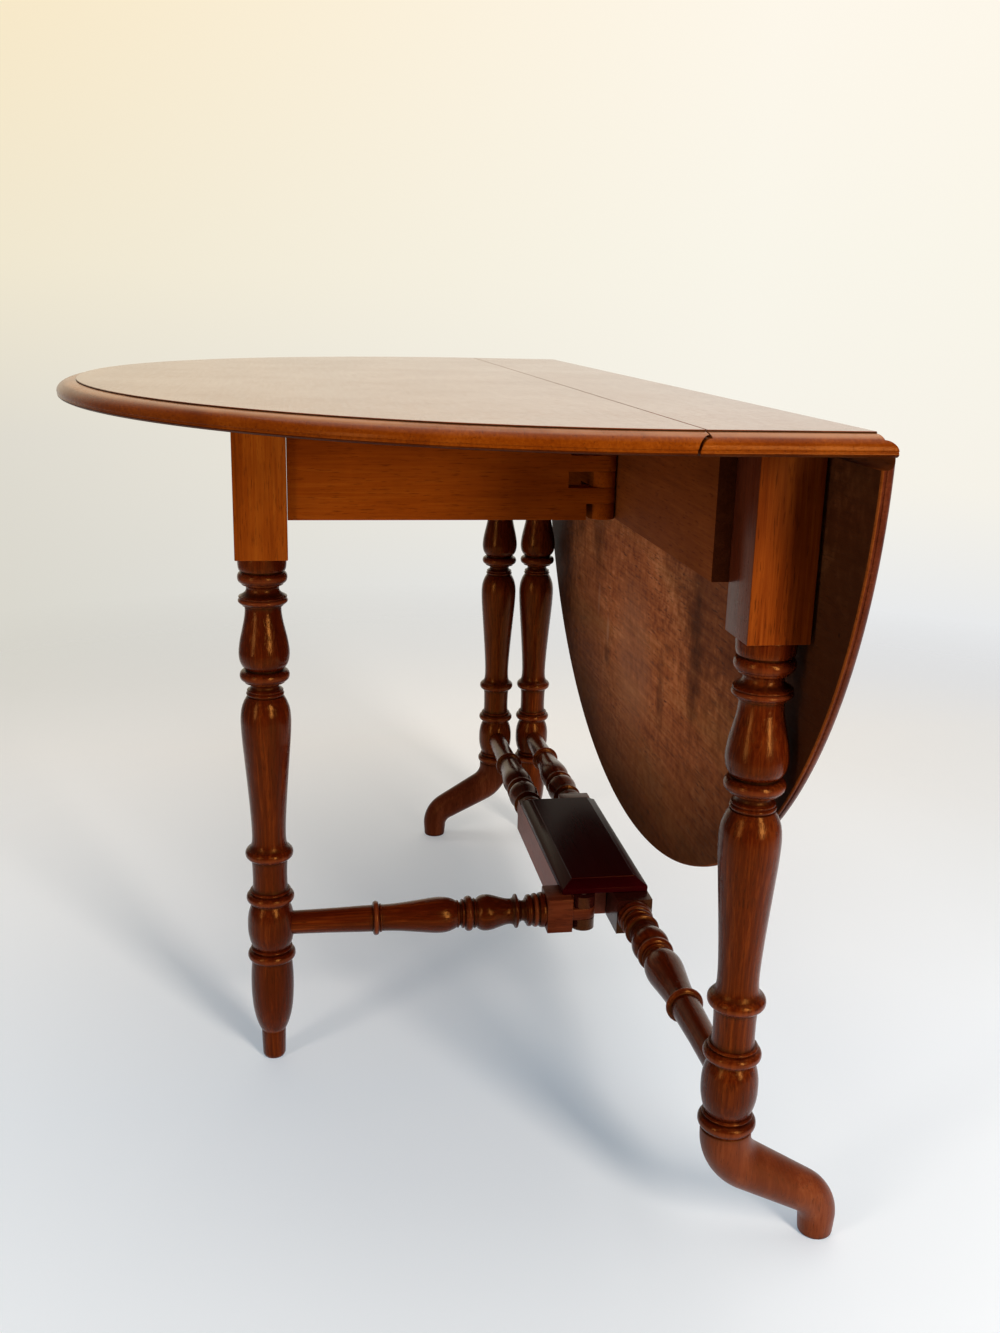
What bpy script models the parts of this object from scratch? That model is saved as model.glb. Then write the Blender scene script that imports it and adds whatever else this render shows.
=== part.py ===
"""Sutherland table: a narrow drop-leaf table with two half-oval leaves on rule joints, each
carried by a swinging gate leg.  Modelled with the left leaf up on its open gate and
the right leaf hanging.  Metres, +Z up, origin on the floor under the middle of the top,
+Y along the narrow top, the open leaf towards -X."""

import math

import bmesh
import bpy
from mathutils import Matrix, Vector

# Driving dimensions
TOP_HEIGHT = 0.720          # floor to table top
TOP_THICKNESS = 0.016
TOP_HALF_LENGTH = 0.552     # middle of the top to the quirk of the end moulding
LEAF_REACH = 0.478          # rule joint to the quirk of the leaf's edge
EDGE_WIDTH = 0.018          # thumb moulding outside the quirk
EDGE_DROP = 0.0085          # fall of the thumb curve
EDGE_NOSE = 0.0025          # upright below the thumb curve
EDGE_UNDERCUT = 0.0025      # bevel back to the underside
QUIRK = 0.0025              # step at the top of the moulding
RULE_STEP = 0.0045          # step at the top of the rule joint
RULE_RADIUS = 0.009         # rule joint's quarter round, about the hinge pin
LEG_BLOCK = 0.0508          # square stock of the legs
LEG_PAIR_GAP = 0.0062       # between a fixed leg and a closed gate leg
LEG_SETBACK = 0.0874        # quirk of the end moulding to the leg's axis
LEAF_CLEARANCE = 0.0036     # leg block to the back of a hanging leaf
BLOCK_LENGTH = 0.150        # square part at the top of a leg
RAIL_HEIGHT = 0.112
RAIL_THICKNESS = 0.026
CORE_THICKNESS = 0.0214     # board between the two fixed rails
KNUCKLE_OFFSET = 0.1266     # gate axis from the middle of the top, along Y
KNUCKLE_DEPTH = 0.042       # slot depth from the gate axis
FINGERS = 7                 # fingers of the wooden knuckle, both rails together
KNUCKLE_PIN_RADIUS = 0.004
TENON_THICKNESS = 0.010
TENON_LENGTH = 0.024
TENON_SHOULDER = 0.012      # above and below a tenon
STRETCHER_HEIGHT = 0.1575   # axis of the turned stretchers
STRETCHER_SOCKET = 0.014    # depth of a stretcher in its leg
STRETCHER_BLOCK = 0.039     # square part of a stretcher
GATE_BLOCK_END = 0.042      # gate axis to the outer end of a gate stretcher's block
HUB_HALF_LENGTH = 0.150     # middle of the hub to the outer end of a fixed block
LID_HALF_WIDTH = 0.048
LID_HALF_LENGTH = 0.1296
LID_THICKNESS = 0.0140
LID_FIELD = 0.012           # width of the lid's bevelled border
LID_EDGE = 0.006            # upright edge below the bevel
FOOT_REACH = 0.092          # leg's axis to the middle of the scrolled foot's toe
FOOT_RADIUS = 0.0222        # scrolled foot under its leg
FOOT_SWELL = 0.0008         # fuller in its middle
FOOT_TOE_RADIUS = 0.0152
FOOT_UPPER_BEND = 0.040     # radii of the two bends of the scroll
FOOT_LOWER_BEND = 0.032
FOOT_LEAD = 0.0050          # straight above the upper bend
FOOT_TOE_LENGTH = 0.017     # and below the lower one
FOOT_PIN_RADIUS = 0.010
FOOT_PIN_LENGTH = 0.022
BULB_RADIUS = 0.0224        # end of a gate leg, above its peg
BULB_NECK = 0.0212
BULB_FALL = 0.030           # turning to the widest part of the bulb
TOE_LENGTH = 0.034          # peg at the bottom of a gate leg
TOE_RADIUS = 0.0122
TOE_SHOULDER = 0.0135       # bottom of the bulb
TOE_CHAMFER = 0.0020
STRETCHER_END_RADIUS = 0.0125
HINGE_SPACING = 0.36        # between the hinges of one leaf
HINGE_COUNT = 3
HINGE_WIDTH = 0.036
HINGE_TOP_PLATE = 0.030     # pin to the end of the plate under the top
HINGE_LEAF_PLATE = 0.055    # pin to the end of the plate under the leaf
PLATE_THICKNESS = 0.0018
BARREL_RADIUS = 0.0024
HINGE_PIN_RADIUS = 0.0010
SCREW_SPACING = 0.24        # screws that hold the top to the core
SCREW_COUNT = 4
SCREW_RADIUS = 0.0024
SCREW_HEAD_RADIUS = 0.0046
SCREW_HEAD_HEIGHT = 0.003
SCREW_BITE = 0.010          # screw in the top
SCREW_GRIP = 0.024          # wood of the core above a screw's head

# Turned members, in millimetres on the stock they are drawn for: distances run down from a leg's
# block, up and down from its ball, or out from a stretcher's block.  A point is (distance, radius),
# a bead (middle, half height, neck, crest, facets), a swell (start, widest, end, radii at these,
# facets before and after the widest).
LEG_UNIT = LEG_BLOCK / 50.8
STRETCHER_UNIT = STRETCHER_BLOCK / 39.0
LEG_UPPER_TURNING = (
    ("point", -10, 23.6), ("point", 14, 23.6),
    ("bead", 21, 6, 20.5, 24.0, 3),
    ("point", 33, 16.0), ("point", 38, 18.5), ("point", 42, 23.2),
    ("point", 45.5, 23.2), ("point", 50, 18.6),
    ("swell", 53, 99, 113.5, 18.6, 25.2, 19.5, 3, 1),
    ("bead", 121, 5.5, 19.0, 24.5, 3),
    ("point", 132.5, 13.6),
    ("bead", 138, 3, 16.0, 18.9, 2),
)
LEG_BALUSTER = (143, 169, -89)          # top and widest from the block, end above the ball
LEG_BALUSTER_RADII = (18.6, 25.3, 17.2)
LEG_BALL_RADIUS = 24.4
LEG_LOWER_TURNING = (
    ("bead", -81.5, 5.5, 17.6, 24.2, 3),
    ("bead", -32.5, 6, 18.2, 24.6, 3),
    ("point", -26, 18.8), ("point", -13, 23.2), ("point", 0, LEG_BALL_RADIUS),
    ("point", 13, 23.2), ("point", 27, 18.8),
    ("bead", 34.5, 6, 18.8, 24.8, 3),
)
LEG_TURNING_END = (41.5, 21.5)          # below the ball, where the foot or the bulb starts
STRETCHER_TURNING = (
    ("point", -8, 18.2), ("point", 8.5, 18.2),
    ("bead", 18.5, 5.5, 13.6, 17.6, 3),
    ("point", 27, 11.2), ("point", 32, 17.9), ("point", 35, 17.9),
    ("swell", 39, 69, 77, 13.4, 19.3, 16.3, 3, 1),
    ("bead", 85, 5, 15.0, 18.5, 3),
    ("point", 93, 10.8),
    ("swell", 96, 115, 178, 13.9, 18.8, 13.6, 2, 3),
    ("bead", 184, 4, 14.0, 17.9, 2),
    ("point", 189, 14.1),
)
STRETCHER_TAPER = 0.8                   # share of the plain arm that tapers to the leg

# Clearances
SEAT = 0.0003               # between pieces that touch
JOINT_GAP = 0.0006          # rule joint's open line at the surface
RULE_CLEARANCE = 0.0010     # leaf's cove round the rule joint's quarter round
RUNNING = 0.0003            # round a pin
FLY_CLEARANCE = 0.0010      # end of the core to a closed gate leg
ROOT = 0.004                # overlap of two solids that are joined into one

# Facets
LEG_SIDES = 12
STRETCHER_SIDES = 10
PIN_SIDES = 12
HINGE_SIDES = 6
LEAF_SIDES = 72

# Sizes that follow
UNDERSIDE = TOP_HEIGHT - TOP_THICKNESS
PIN_HEIGHT = TOP_HEIGHT - RULE_STEP - RULE_RADIUS
PIN_DEPTH = PIN_HEIGHT - UNDERSIDE
TOP_HALF_WIDTH = LEG_PAIR_GAP / 2 + LEG_BLOCK + LEAF_CLEARANCE + PIN_DEPTH
LEG_X = LEG_PAIR_GAP / 2 + LEG_BLOCK / 2
LEG_Y = TOP_HALF_LENGTH - LEG_SETBACK
FRAME_TOP = UNDERSIDE - SEAT
RAIL_BOTTOM = FRAME_TOP - RAIL_HEIGHT
BLOCK_BOTTOM = FRAME_TOP - BLOCK_LENGTH
RAIL_INNER = CORE_THICKNESS / 2 + SEAT
GATE_X = RAIL_INNER + RAIL_THICKNESS / 2
GATE_Y = KNUCKLE_OFFSET
KNUCKLE_RADIUS = RAIL_THICKNESS / 2
BLOCK_INNER_Y = LEG_Y - LEG_BLOCK / 2
BALL_RADIUS = LEG_BALL_RADIUS * LEG_UNIT
FOOT_TOP = STRETCHER_HEIGHT - LEG_TURNING_END[0] * LEG_UNIT
# Shoulder of a fixed stretcher, clear of the gate stretcher's block when the gate stands open
FORK_SHOULDER = STRETCHER_BLOCK / 2 + LEG_X - GATE_X + FLY_CLEARANCE
TURN_AROUND = Matrix.Rotation(math.pi, 4, "Z")

for old in list(bpy.data.objects):
    bpy.data.objects.remove(old, do_unlink=True)

parts = bpy.data.collections.new("sutherland_table")
cutters = bpy.data.collections.new("cutters")
bpy.context.scene.collection.children.link(parts)
bpy.context.scene.collection.children.link(cutters)


def new_mesh(bm, name):
    bmesh.ops.remove_doubles(bm, verts=bm.verts, dist=0.00001)
    bmesh.ops.recalc_face_normals(bm, faces=bm.faces)
    mesh = bpy.data.meshes.new(name)
    bm.to_mesh(mesh)
    bm.free()
    return mesh


def box(low, high):
    bm = bmesh.new()
    size = Vector(high) - Vector(low)
    middle = (Vector(high) + Vector(low)) / 2
    bmesh.ops.create_cube(bm, size=1.0)
    bmesh.ops.scale(bm, vec=size, verts=bm.verts)
    bmesh.ops.translate(bm, vec=middle, verts=bm.verts)
    return new_mesh(bm, "box")


def rod(radius, start, end, sides=PIN_SIDES):
    """Round bar between two points."""
    bm = bmesh.new()
    along = Vector(end) - Vector(start)
    bmesh.ops.create_cone(bm, cap_ends=True, segments=sides, radius1=radius, radius2=radius,
                          depth=along.length)
    turn = along.to_track_quat("Z", "Y").to_matrix().to_4x4()
    place = Matrix.Translation((Vector(start) + Vector(end)) / 2) @ turn
    bmesh.ops.transform(bm, matrix=place, verts=bm.verts)
    return new_mesh(bm, "rod")


def bore(radius, start, end, sides=PIN_SIDES):
    """Cutter for a hole whose flats clear a round bar of this radius."""
    return rod(flats_clear(radius, sides), start, end, sides)


def flats_clear(radius, sides):
    return (radius + RUNNING) / math.cos(math.pi / sides)


def baked(thing):
    """Mesh of an object with its modifiers or curve settings; the object is removed."""
    bpy.context.view_layer.update()
    seen = thing.evaluated_get(bpy.context.evaluated_depsgraph_get())
    bm = bmesh.new()
    bm.from_mesh(bpy.data.meshes.new_from_object(seen))
    bpy.data.objects.remove(thing, do_unlink=True)
    return new_mesh(bm, "baked")


def scratch(mesh):
    thing = bpy.data.objects.new("scratch", mesh)
    thing.hide_render = True
    thing.display_type = "WIRE"
    cutters.objects.link(thing)
    return thing


def boolean(mesh, tool, operation):
    body = scratch(mesh)
    cutter = scratch(tool)
    step = body.modifiers.new("shape", "BOOLEAN")
    step.operation = operation
    step.object = cutter
    result = baked(body)
    bpy.data.objects.remove(cutter, do_unlink=True)
    return result


def union(mesh, tool):
    return boolean(mesh, tool, "UNION")


def cut(mesh, tool):
    return boolean(mesh, tool, "DIFFERENCE")


def together(meshes):
    """Separate solids in one mesh."""
    bm = bmesh.new()
    for mesh in meshes:
        bm.from_mesh(mesh)
    mesh = bpy.data.meshes.new("group")
    bm.to_mesh(mesh)
    bm.free()
    return mesh


def moved(mesh, matrix):
    copy = mesh.copy()
    copy.transform(matrix)
    return copy


def prism(outline, low, high, hole=None):
    """Flat outline, with an optional round hole (x, y, radius), from z = low to z = high."""
    curve = bpy.data.curves.new("outline", "CURVE")
    curve.dimensions = "2D"
    curve.fill_mode = "BOTH"
    curve.extrude = (high - low) / 2
    loops = [outline]
    if hole:
        x, y, radius = hole
        turn = 2 * math.pi / PIN_SIDES
        loops.append([(x + radius * math.cos(turn * (k + 0.5)), y + radius * math.sin(turn * (k + 0.5)))
                      for k in range(PIN_SIDES)])
    for loop in loops:
        spline = curve.splines.new("POLY")
        spline.points.add(len(loop) - 1)
        for point, (x, y) in zip(spline.points, loop):
            point.co = (x, y, 0, 1)
        spline.use_cyclic_u = True
    thing = bpy.data.objects.new("outline", curve)
    cutters.objects.link(thing)
    mesh = baked(thing)
    mesh.transform(Matrix.Translation((0, 0, (low + high) / 2)))
    return mesh


# Hole for a gate pin, as a prism takes it
GATE_BORE = (GATE_X, GATE_Y, flats_clear(KNUCKLE_PIN_RADIUS, PIN_SIDES))

# A prism drawn in X and Z and run along Y, or drawn in Y and Z and run along X
ALONG_Y = Matrix(((1, 0, 0, 0), (0, 0, -1, 0), (0, 1, 0, 0), (0, 0, 0, 1)))
ALONG_X = Matrix(((0, 0, 1, 0), (1, 0, 0, 0), (0, 1, 0, 0), (0, 0, 0, 1)))


def arc(x, y, radius, start, end, steps):
    """Points on a circle between two angles in degrees."""
    angles = [math.radians(start + (end - start) * k / steps) for k in range(steps + 1)]
    return [(x + radius * math.cos(a), y + radius * math.sin(a)) for a in angles]


def turned(profile, sides):
    """Solid turned about Z from (radius, height) points, top to bottom."""
    bm = bmesh.new()
    verts = [bm.verts.new((radius, 0, height)) for radius, height in profile]
    for upper, lower in zip(verts, verts[1:]):
        bm.edges.new((upper, lower))
    mesh = bpy.data.meshes.new("profile")
    bm.to_mesh(mesh)
    bm.free()
    thing = scratch(mesh)
    screw = thing.modifiers.new("turn", "SCREW")
    screw.axis = "Z"
    screw.steps = screw.render_steps = sides
    screw.use_merge_vertices = True
    screw.merge_threshold = 0.00001
    return baked(thing)


def bead(middle, half, neck, crest, steps):
    """Half-round ring of a turning."""
    points = []
    for k in range(steps + 1):
        angle = math.pi * k / steps
        points.append((middle - half * math.cos(angle), neck + (crest - neck) * math.sin(angle)))
    return points


def swell(start, widest, end, start_radius, radius, end_radius, before, after):
    """Bulging member: rounds out to its widest place and tapers away after it."""
    points = []
    for k in range(before + 1):
        share = math.sin(math.pi / 2 * k / before)
        place = start + (widest - start) * k / before
        points.append((place, start_radius + (radius - start_radius) * share))
    for k in range(1, after + 1):
        share = (1 + math.cos(math.pi * k / after)) / 2
        points.append((widest + (end - widest) * k / after, end_radius + (radius - end_radius) * share))
    return points


def members(rows, unit, datum):
    """Profile points (radius, height) of turned members, whose distances run down from the datum."""
    points = []
    for kind, *sizes in rows:
        shape = {"point": lambda *pair: [pair], "bead": bead, "swell": swell}[kind]
        points += shape(*sizes)
    return [(radius * unit, datum - distance * unit) for distance, radius in points]


def leg_turning():
    """Turned part shared by all four legs, from the block to the ring under the ball."""
    upper = members(LEG_UPPER_TURNING, LEG_UNIT, BLOCK_BOTTOM)
    lower = members(LEG_LOWER_TURNING, LEG_UNIT, STRETCHER_HEIGHT)
    top, widest, end = LEG_BALUSTER
    fall = (BLOCK_BOTTOM - STRETCHER_HEIGHT) / LEG_UNIT + end
    baluster = members([("swell", top, widest, fall, *LEG_BALUSTER_RADII, 2, 4)], LEG_UNIT, BLOCK_BOTTOM)
    return [(0, upper[0][1])] + upper + baluster + lower


def fixed_leg_profile():
    low = FOOT_TOP + SEAT
    pin_end = low - FOOT_PIN_LENGTH
    profile = leg_turning() + [(LEG_TURNING_END[1] * LEG_UNIT, low), (FOOT_PIN_RADIUS, low)]
    return profile + [(FOOT_PIN_RADIUS, pin_end), (0, pin_end)]


def gate_leg_profile():
    widest = FOOT_TOP - BULB_FALL
    profile = leg_turning() + [(BULB_NECK, FOOT_TOP), (BULB_RADIUS, widest)]
    for k in (1, 2, 3):
        angle = math.pi / 2 * k / 3
        profile.append((TOE_SHOULDER + (BULB_RADIUS - TOE_SHOULDER) * math.cos(angle),
                        widest + (TOE_LENGTH - widest) * math.sin(angle)))
    peg = [(TOE_RADIUS + TOE_CHAMFER / 2, TOE_LENGTH - TOE_CHAMFER / 2), (TOE_RADIUS, TOE_CHAMFER)]
    return profile + peg + [(TOE_RADIUS - TOE_CHAMFER, 0), (0, 0)]


def leg(profile, x, y, inward):
    """Leg at (x, y): turning, top block, mortise and stretcher socket on its inward side."""
    mesh = turned(profile, LEG_SIDES)
    mesh.transform(Matrix.Translation((x, y, 0)))
    half = LEG_BLOCK / 2
    mesh = union(mesh, box((x - half, y - half, BLOCK_BOTTOM), (x + half, y + half, FRAME_TOP)))
    half_mortise = TENON_THICKNESS / 2 + SEAT
    face = y + inward * half
    ends = sorted((face - inward * (TENON_LENGTH + SEAT), face + inward * half))
    mesh = cut(mesh, box((GATE_X - half_mortise, ends[0], RAIL_BOTTOM + TENON_SHOULDER - SEAT),
                         (GATE_X + half_mortise, ends[1], FRAME_TOP - TENON_SHOULDER + SEAT)))
    socket = y + inward * (BALL_RADIUS - STRETCHER_SOCKET - SEAT)
    return cut(mesh, bore(STRETCHER_END_RADIUS, (x, socket, STRETCHER_HEIGHT),
                          (x, y + inward * LEG_BLOCK, STRETCHER_HEIGHT)))


def stretcher_turning(length):
    """Profile from the square block (height 0) out to the leg's ball (height -length)."""
    profile = members(STRETCHER_TURNING, STRETCHER_UNIT, 0)
    plain = profile[-1][1]
    taper_end = plain - (length + plain) * STRETCHER_TAPER
    arm = [(STRETCHER_END_RADIUS, taper_end), (STRETCHER_END_RADIUS, -length), (0, -length)]
    return [(0, profile[0][1])] + profile + arm


def scrolled_foot():
    """Foot of a fixed leg: an S-curved scroll that steps sideways from leg to floor."""
    upper, lower = FOOT_UPPER_BEND, FOOT_LOWER_BEND
    fall = FOOT_TOP - FOOT_LEAD - FOOT_TOE_LENGTH
    spare = upper + lower - FOOT_REACH
    bend = math.degrees(math.asin((upper + lower) / math.hypot(spare, fall)) - math.atan2(spare, fall))
    path = [(0, FOOT_TOP)]
    path += arc(upper, FOOT_TOP - FOOT_LEAD, upper, 180, 180 + bend, 5)
    path += arc(FOOT_REACH - lower, FOOT_TOE_LENGTH, lower, bend, 0, 5)
    path += [(FOOT_REACH, 0)]
    curve = bpy.data.curves.new("foot", "CURVE")
    curve.dimensions = "3D"
    curve.bevel_depth = 1.0
    curve.bevel_resolution = 2
    curve.use_fill_caps = True
    spline = curve.splines.new("POLY")
    spline.points.add(len(path) - 1)
    for k, (point, (x, z)) in enumerate(zip(spline.points, path)):
        share = k / (len(path) - 1)
        point.co = (x, 0, z, 1)
        taper = (FOOT_RADIUS - FOOT_TOE_RADIUS) * share ** 2
        point.radius = FOOT_RADIUS + FOOT_SWELL * math.sin(math.pi * share) - taper
    thing = bpy.data.objects.new("foot", curve)
    cutters.objects.link(thing)
    mesh = baked(thing)
    socket = FOOT_TOP - FOOT_PIN_LENGTH - SEAT
    mesh = cut(mesh, bore(FOOT_PIN_RADIUS, (0, 0, socket), (0, 0, FOOT_TOP + LEG_BLOCK)))
    mesh.transform(Matrix.Translation((LEG_X, -LEG_Y, 0)))
    return mesh


def rail(leg_face, outward):
    """Rail from its knuckle at (GATE_X, GATE_Y) to a tenon past leg_face."""
    inner = GATE_X - KNUCKLE_RADIUS
    outer = GATE_X + KNUCKLE_RADIUS
    end = leg_face - outward * SEAT
    nose = arc(GATE_X, GATE_Y, KNUCKLE_RADIUS, 0, -180 * outward, 8)
    outline = nose + [(inner, end), (outer, end)]
    mesh = prism(outline, RAIL_BOTTOM, FRAME_TOP, GATE_BORE)
    half = TENON_THICKNESS / 2
    span = sorted((end - outward * ROOT, leg_face + outward * TENON_LENGTH))
    tenon = box((GATE_X - half, span[0], RAIL_BOTTOM + TENON_SHOULDER),
                (GATE_X + half, span[1], FRAME_TOP - TENON_SHOULDER))
    mesh = union(mesh, tenon)
    finger = RAIL_HEIGHT / FINGERS
    first = 1 if outward < 0 else 0
    reach = sorted((GATE_Y + outward * KNUCKLE_DEPTH, GATE_Y - outward * RAIL_THICKNESS))
    slots = []
    for k in range(first, FINGERS, 2):
        low = RAIL_BOTTOM + k * finger - (SEAT / 2 if k else RAIL_THICKNESS)
        high = RAIL_BOTTOM + (k + 1) * finger + (SEAT / 2 if k + 1 < FINGERS else RAIL_THICKNESS)
        slots.append(box((inner - RAIL_THICKNESS, reach[0], low), (outer + RAIL_THICKNESS, reach[1], high)))
    return cut(mesh, together(slots))


def stretcher(outward, leg_y, block_end):
    """Stretcher with a fork or tongue at the gate axis, a square block and a turned arm."""
    half = STRETCHER_BLOCK / 2
    third = STRETCHER_BLOCK / 3
    low = STRETCHER_HEIGHT - half
    high = STRETCHER_HEIGHT + half
    fork = outward < 0
    shoulder = GATE_Y + outward * (FORK_SHOULDER if fork else KNUCKLE_RADIUS + FLY_CLEARANCE)
    span = sorted((shoulder, block_end))
    mesh = box((LEG_X - half, span[0], low), (LEG_X + half, span[1], high))
    arm = abs(leg_y - block_end) - BALL_RADIUS + STRETCHER_SOCKET
    shaft = turned(stretcher_turning(arm), STRETCHER_SIDES)
    aim = Matrix.Rotation(math.radians(90 if outward > 0 else -90), 4, "X")
    shaft.transform(Matrix.Translation((LEG_X, block_end, STRETCHER_HEIGHT)) @ aim)
    mesh = union(mesh, shaft)
    nose = arc(GATE_X, GATE_Y, KNUCKLE_RADIUS, 0, -180 * outward, 8)
    root = shoulder + outward * ROOT
    outline = nose + [(GATE_X - KNUCKLE_RADIUS, root), (GATE_X + KNUCKLE_RADIUS, root)]
    if not fork:
        return union(mesh, prism(outline, low + third + SEAT / 2, high - third - SEAT / 2, GATE_BORE))
    for bottom, top in ((low, low + third - SEAT / 2), (high - third + SEAT / 2, high)):
        mesh = union(mesh, prism(outline, bottom, top, GATE_BORE))
    return mesh


def rule_edge(radius, lowest, steps=7):
    """Quarter round of the rule joint about the hinge pin, in X and Z, from the top down."""
    return arc(TOP_HALF_WIDTH, PIN_HEIGHT, radius, 90, lowest, steps)


def edge_moulding():
    """Thumb moulding as (outward from the quirk, height) points, from the top down."""
    points = [(0, TOP_HEIGHT), (0, TOP_HEIGHT - QUIRK)]
    for k in range(1, 5):
        angle = math.pi / 2 * k / 4
        points.append((EDGE_WIDTH * math.sin(angle),
                       TOP_HEIGHT - QUIRK - EDGE_DROP * (1 - math.cos(angle))))
    nose = TOP_HEIGHT - QUIRK - EDGE_DROP - EDGE_NOSE
    return points + [(EDGE_WIDTH, nose), (EDGE_WIDTH - EDGE_UNDERCUT, UNDERSIDE)]


def hinge_places():
    return [HINGE_SPACING * (k - (HINGE_COUNT - 1) / 2) for k in range(HINGE_COUNT)]


def hinge_recess(low_x, high_x, groove=0.0):
    """Recesses for the hinge plates in the underside, with a groove for the barrels if asked for."""
    floor = UNDERSIDE - TOP_THICKNESS
    roof = UNDERSIDE + PLATE_THICKNESS + SEAT
    outline = [(low_x, floor), (low_x, roof)]
    if groove:
        left, right, top = TOP_HALF_WIDTH - groove, TOP_HALF_WIDTH + groove, PIN_HEIGHT + groove
        outline += [(left, roof), (left, top), (right, top), (right, roof)]
    outline += [(high_x, roof), (high_x, floor)]
    half = HINGE_WIDTH / 2 + SEAT
    return along_hinges(moved(prism(outline, -half, half), ALONG_Y))


def centre_top():
    lowest = -math.degrees(math.asin(PIN_DEPTH / RULE_RADIUS))
    right = [(TOP_HALF_WIDTH, TOP_HEIGHT)] + rule_edge(RULE_RADIUS, lowest)
    section = right + [(-x, z) for x, z in reversed(right)]
    long_way = TOP_HALF_LENGTH + EDGE_WIDTH
    mesh = moved(prism(section, -2 * long_way, 2 * long_way), ALONG_Y)
    end = [(TOP_HALF_LENGTH + u, z) for u, z in edge_moulding()]
    ends = moved(prism(end + [(-y, z) for y, z in reversed(end)], -long_way, long_way), ALONG_X)
    mesh = boolean(mesh, ends, "INTERSECT")
    recess_end = TOP_HALF_WIDTH + RULE_RADIUS + JOINT_GAP
    recess = hinge_recess(TOP_HALF_WIDTH - HINGE_TOP_PLATE - SEAT, recess_end, BARREL_RADIUS + SEAT)
    for side in (Matrix.Identity(4), TURN_AROUND):
        mesh = cut(mesh, moved(recess, side))
    below = UNDERSIDE - TOP_THICKNESS
    pilot_end = UNDERSIDE + SCREW_BITE + SEAT
    pilots = [bore(SCREW_RADIUS, (0, y, below), (0, y, pilot_end), HINGE_SIDES) for y in screw_places()]
    return cut(mesh, together(pilots))


def leaf():
    """Right leaf, level: half of a moulded oval, cut by the rule joint's cove."""
    bm = bmesh.new()
    loops = []
    for outward, height in edge_moulding():
        loop = []
        for k in range(LEAF_SIDES):
            angle = 2 * math.pi * k / LEAF_SIDES
            loop.append(bm.verts.new((TOP_HALF_WIDTH + (LEAF_REACH + outward) * math.cos(angle),
                                      (TOP_HALF_LENGTH + outward) * math.sin(angle), height)))
        edges = [bm.edges.new((a, b)) for a, b in zip(loop, loop[1:] + loop[:1])]
        if loops:
            bmesh.ops.bridge_loops(bm, edges=loops[-1] + edges)
        loops.append(edges)
    bmesh.ops.contextual_create(bm, geom=loops[0])
    bmesh.ops.contextual_create(bm, geom=loops[-1])
    mesh = new_mesh(bm, "leaf")
    far = TOP_HALF_WIDTH - LEAF_REACH - EDGE_WIDTH - TOP_THICKNESS
    above = TOP_HEIGHT + TOP_THICKNESS
    below = UNDERSIDE - TOP_THICKNESS
    radius = RULE_RADIUS + RULE_CLEARANCE
    lip = math.degrees(math.acos(JOINT_GAP / radius))
    cove = [(far, above), (TOP_HALF_WIDTH + JOINT_GAP, above)]
    cove += arc(TOP_HALF_WIDTH, PIN_HEIGHT, radius, lip, 0, 7)
    cove += [(TOP_HALF_WIDTH + radius, below), (far, below)]
    reach = 2 * (TOP_HALF_LENGTH + EDGE_WIDTH)
    mesh = cut(mesh, moved(prism(cove, -reach, reach), ALONG_Y))
    start = TOP_HALF_WIDTH + RULE_RADIUS - TOP_THICKNESS
    return cut(mesh, hinge_recess(start, TOP_HALF_WIDTH + HINGE_LEAF_PLATE + SEAT))


def hinge_plate(length, side, knuckles):
    """Plate on one side of the pin, with its knuckles, each a third of the width."""
    edge = BARREL_RADIUS + SEAT
    third = HINGE_WIDTH / 3
    top = UNDERSIDE + PLATE_THICKNESS
    ends = sorted((TOP_HALF_WIDTH + side * edge, TOP_HALF_WIDTH + side * length))
    mesh = box((ends[0], -HINGE_WIDTH / 2, UNDERSIDE), (ends[1], HINGE_WIDTH / 2, top))
    tab = sorted((TOP_HALF_WIDTH, TOP_HALF_WIDTH + side * 2 * edge))
    for k in knuckles:
        low = -HINGE_WIDTH / 2 + k * third + (SEAT / 2 if k else 0)
        high = -HINGE_WIDTH / 2 + (k + 1) * third - (SEAT / 2 if k < 2 else 0)
        mesh = union(mesh, box((tab[0], low, UNDERSIDE), (tab[1], high, top)))
        ends = (TOP_HALF_WIDTH, low, PIN_HEIGHT), (TOP_HALF_WIDTH, high, PIN_HEIGHT)
        mesh = union(mesh, rod(BARREL_RADIUS, *ends, HINGE_SIDES))
    return cut(mesh, bore(HINGE_PIN_RADIUS, (TOP_HALF_WIDTH, -HINGE_WIDTH, PIN_HEIGHT),
                          (TOP_HALF_WIDTH, HINGE_WIDTH, PIN_HEIGHT), HINGE_SIDES))


def along_hinges(mesh):
    return together([moved(mesh, Matrix.Translation((0, y, 0))) for y in hinge_places()])


def hinge_pin():
    half = HINGE_WIDTH / 2
    ends = (TOP_HALF_WIDTH, -half, PIN_HEIGHT), (TOP_HALF_WIDTH, half, PIN_HEIGHT)
    return rod(HINGE_PIN_RADIUS, *ends, HINGE_SIDES)


def screw_places():
    return [SCREW_SPACING * (k - (SCREW_COUNT - 1) / 2) for k in range(SCREW_COUNT)]


def core_rail():
    end = BLOCK_INNER_Y - FLY_CLEARANCE
    mesh = box((-CORE_THICKNESS / 2, -end, RAIL_BOTTOM), (CORE_THICKNESS / 2, end, FRAME_TOP))
    seat = FRAME_TOP - SCREW_GRIP
    sinks = [bore(SCREW_HEAD_RADIUS, (0, y, RAIL_BOTTOM - RAIL_HEIGHT), (0, y, seat), HINGE_SIDES)
             for y in screw_places()]
    holes = [bore(SCREW_RADIUS, (0, y, seat - SCREW_GRIP), (0, y, FRAME_TOP + SCREW_GRIP), HINGE_SIDES)
             for y in screw_places()]
    return cut(cut(mesh, together(sinks)), together(holes))


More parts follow.
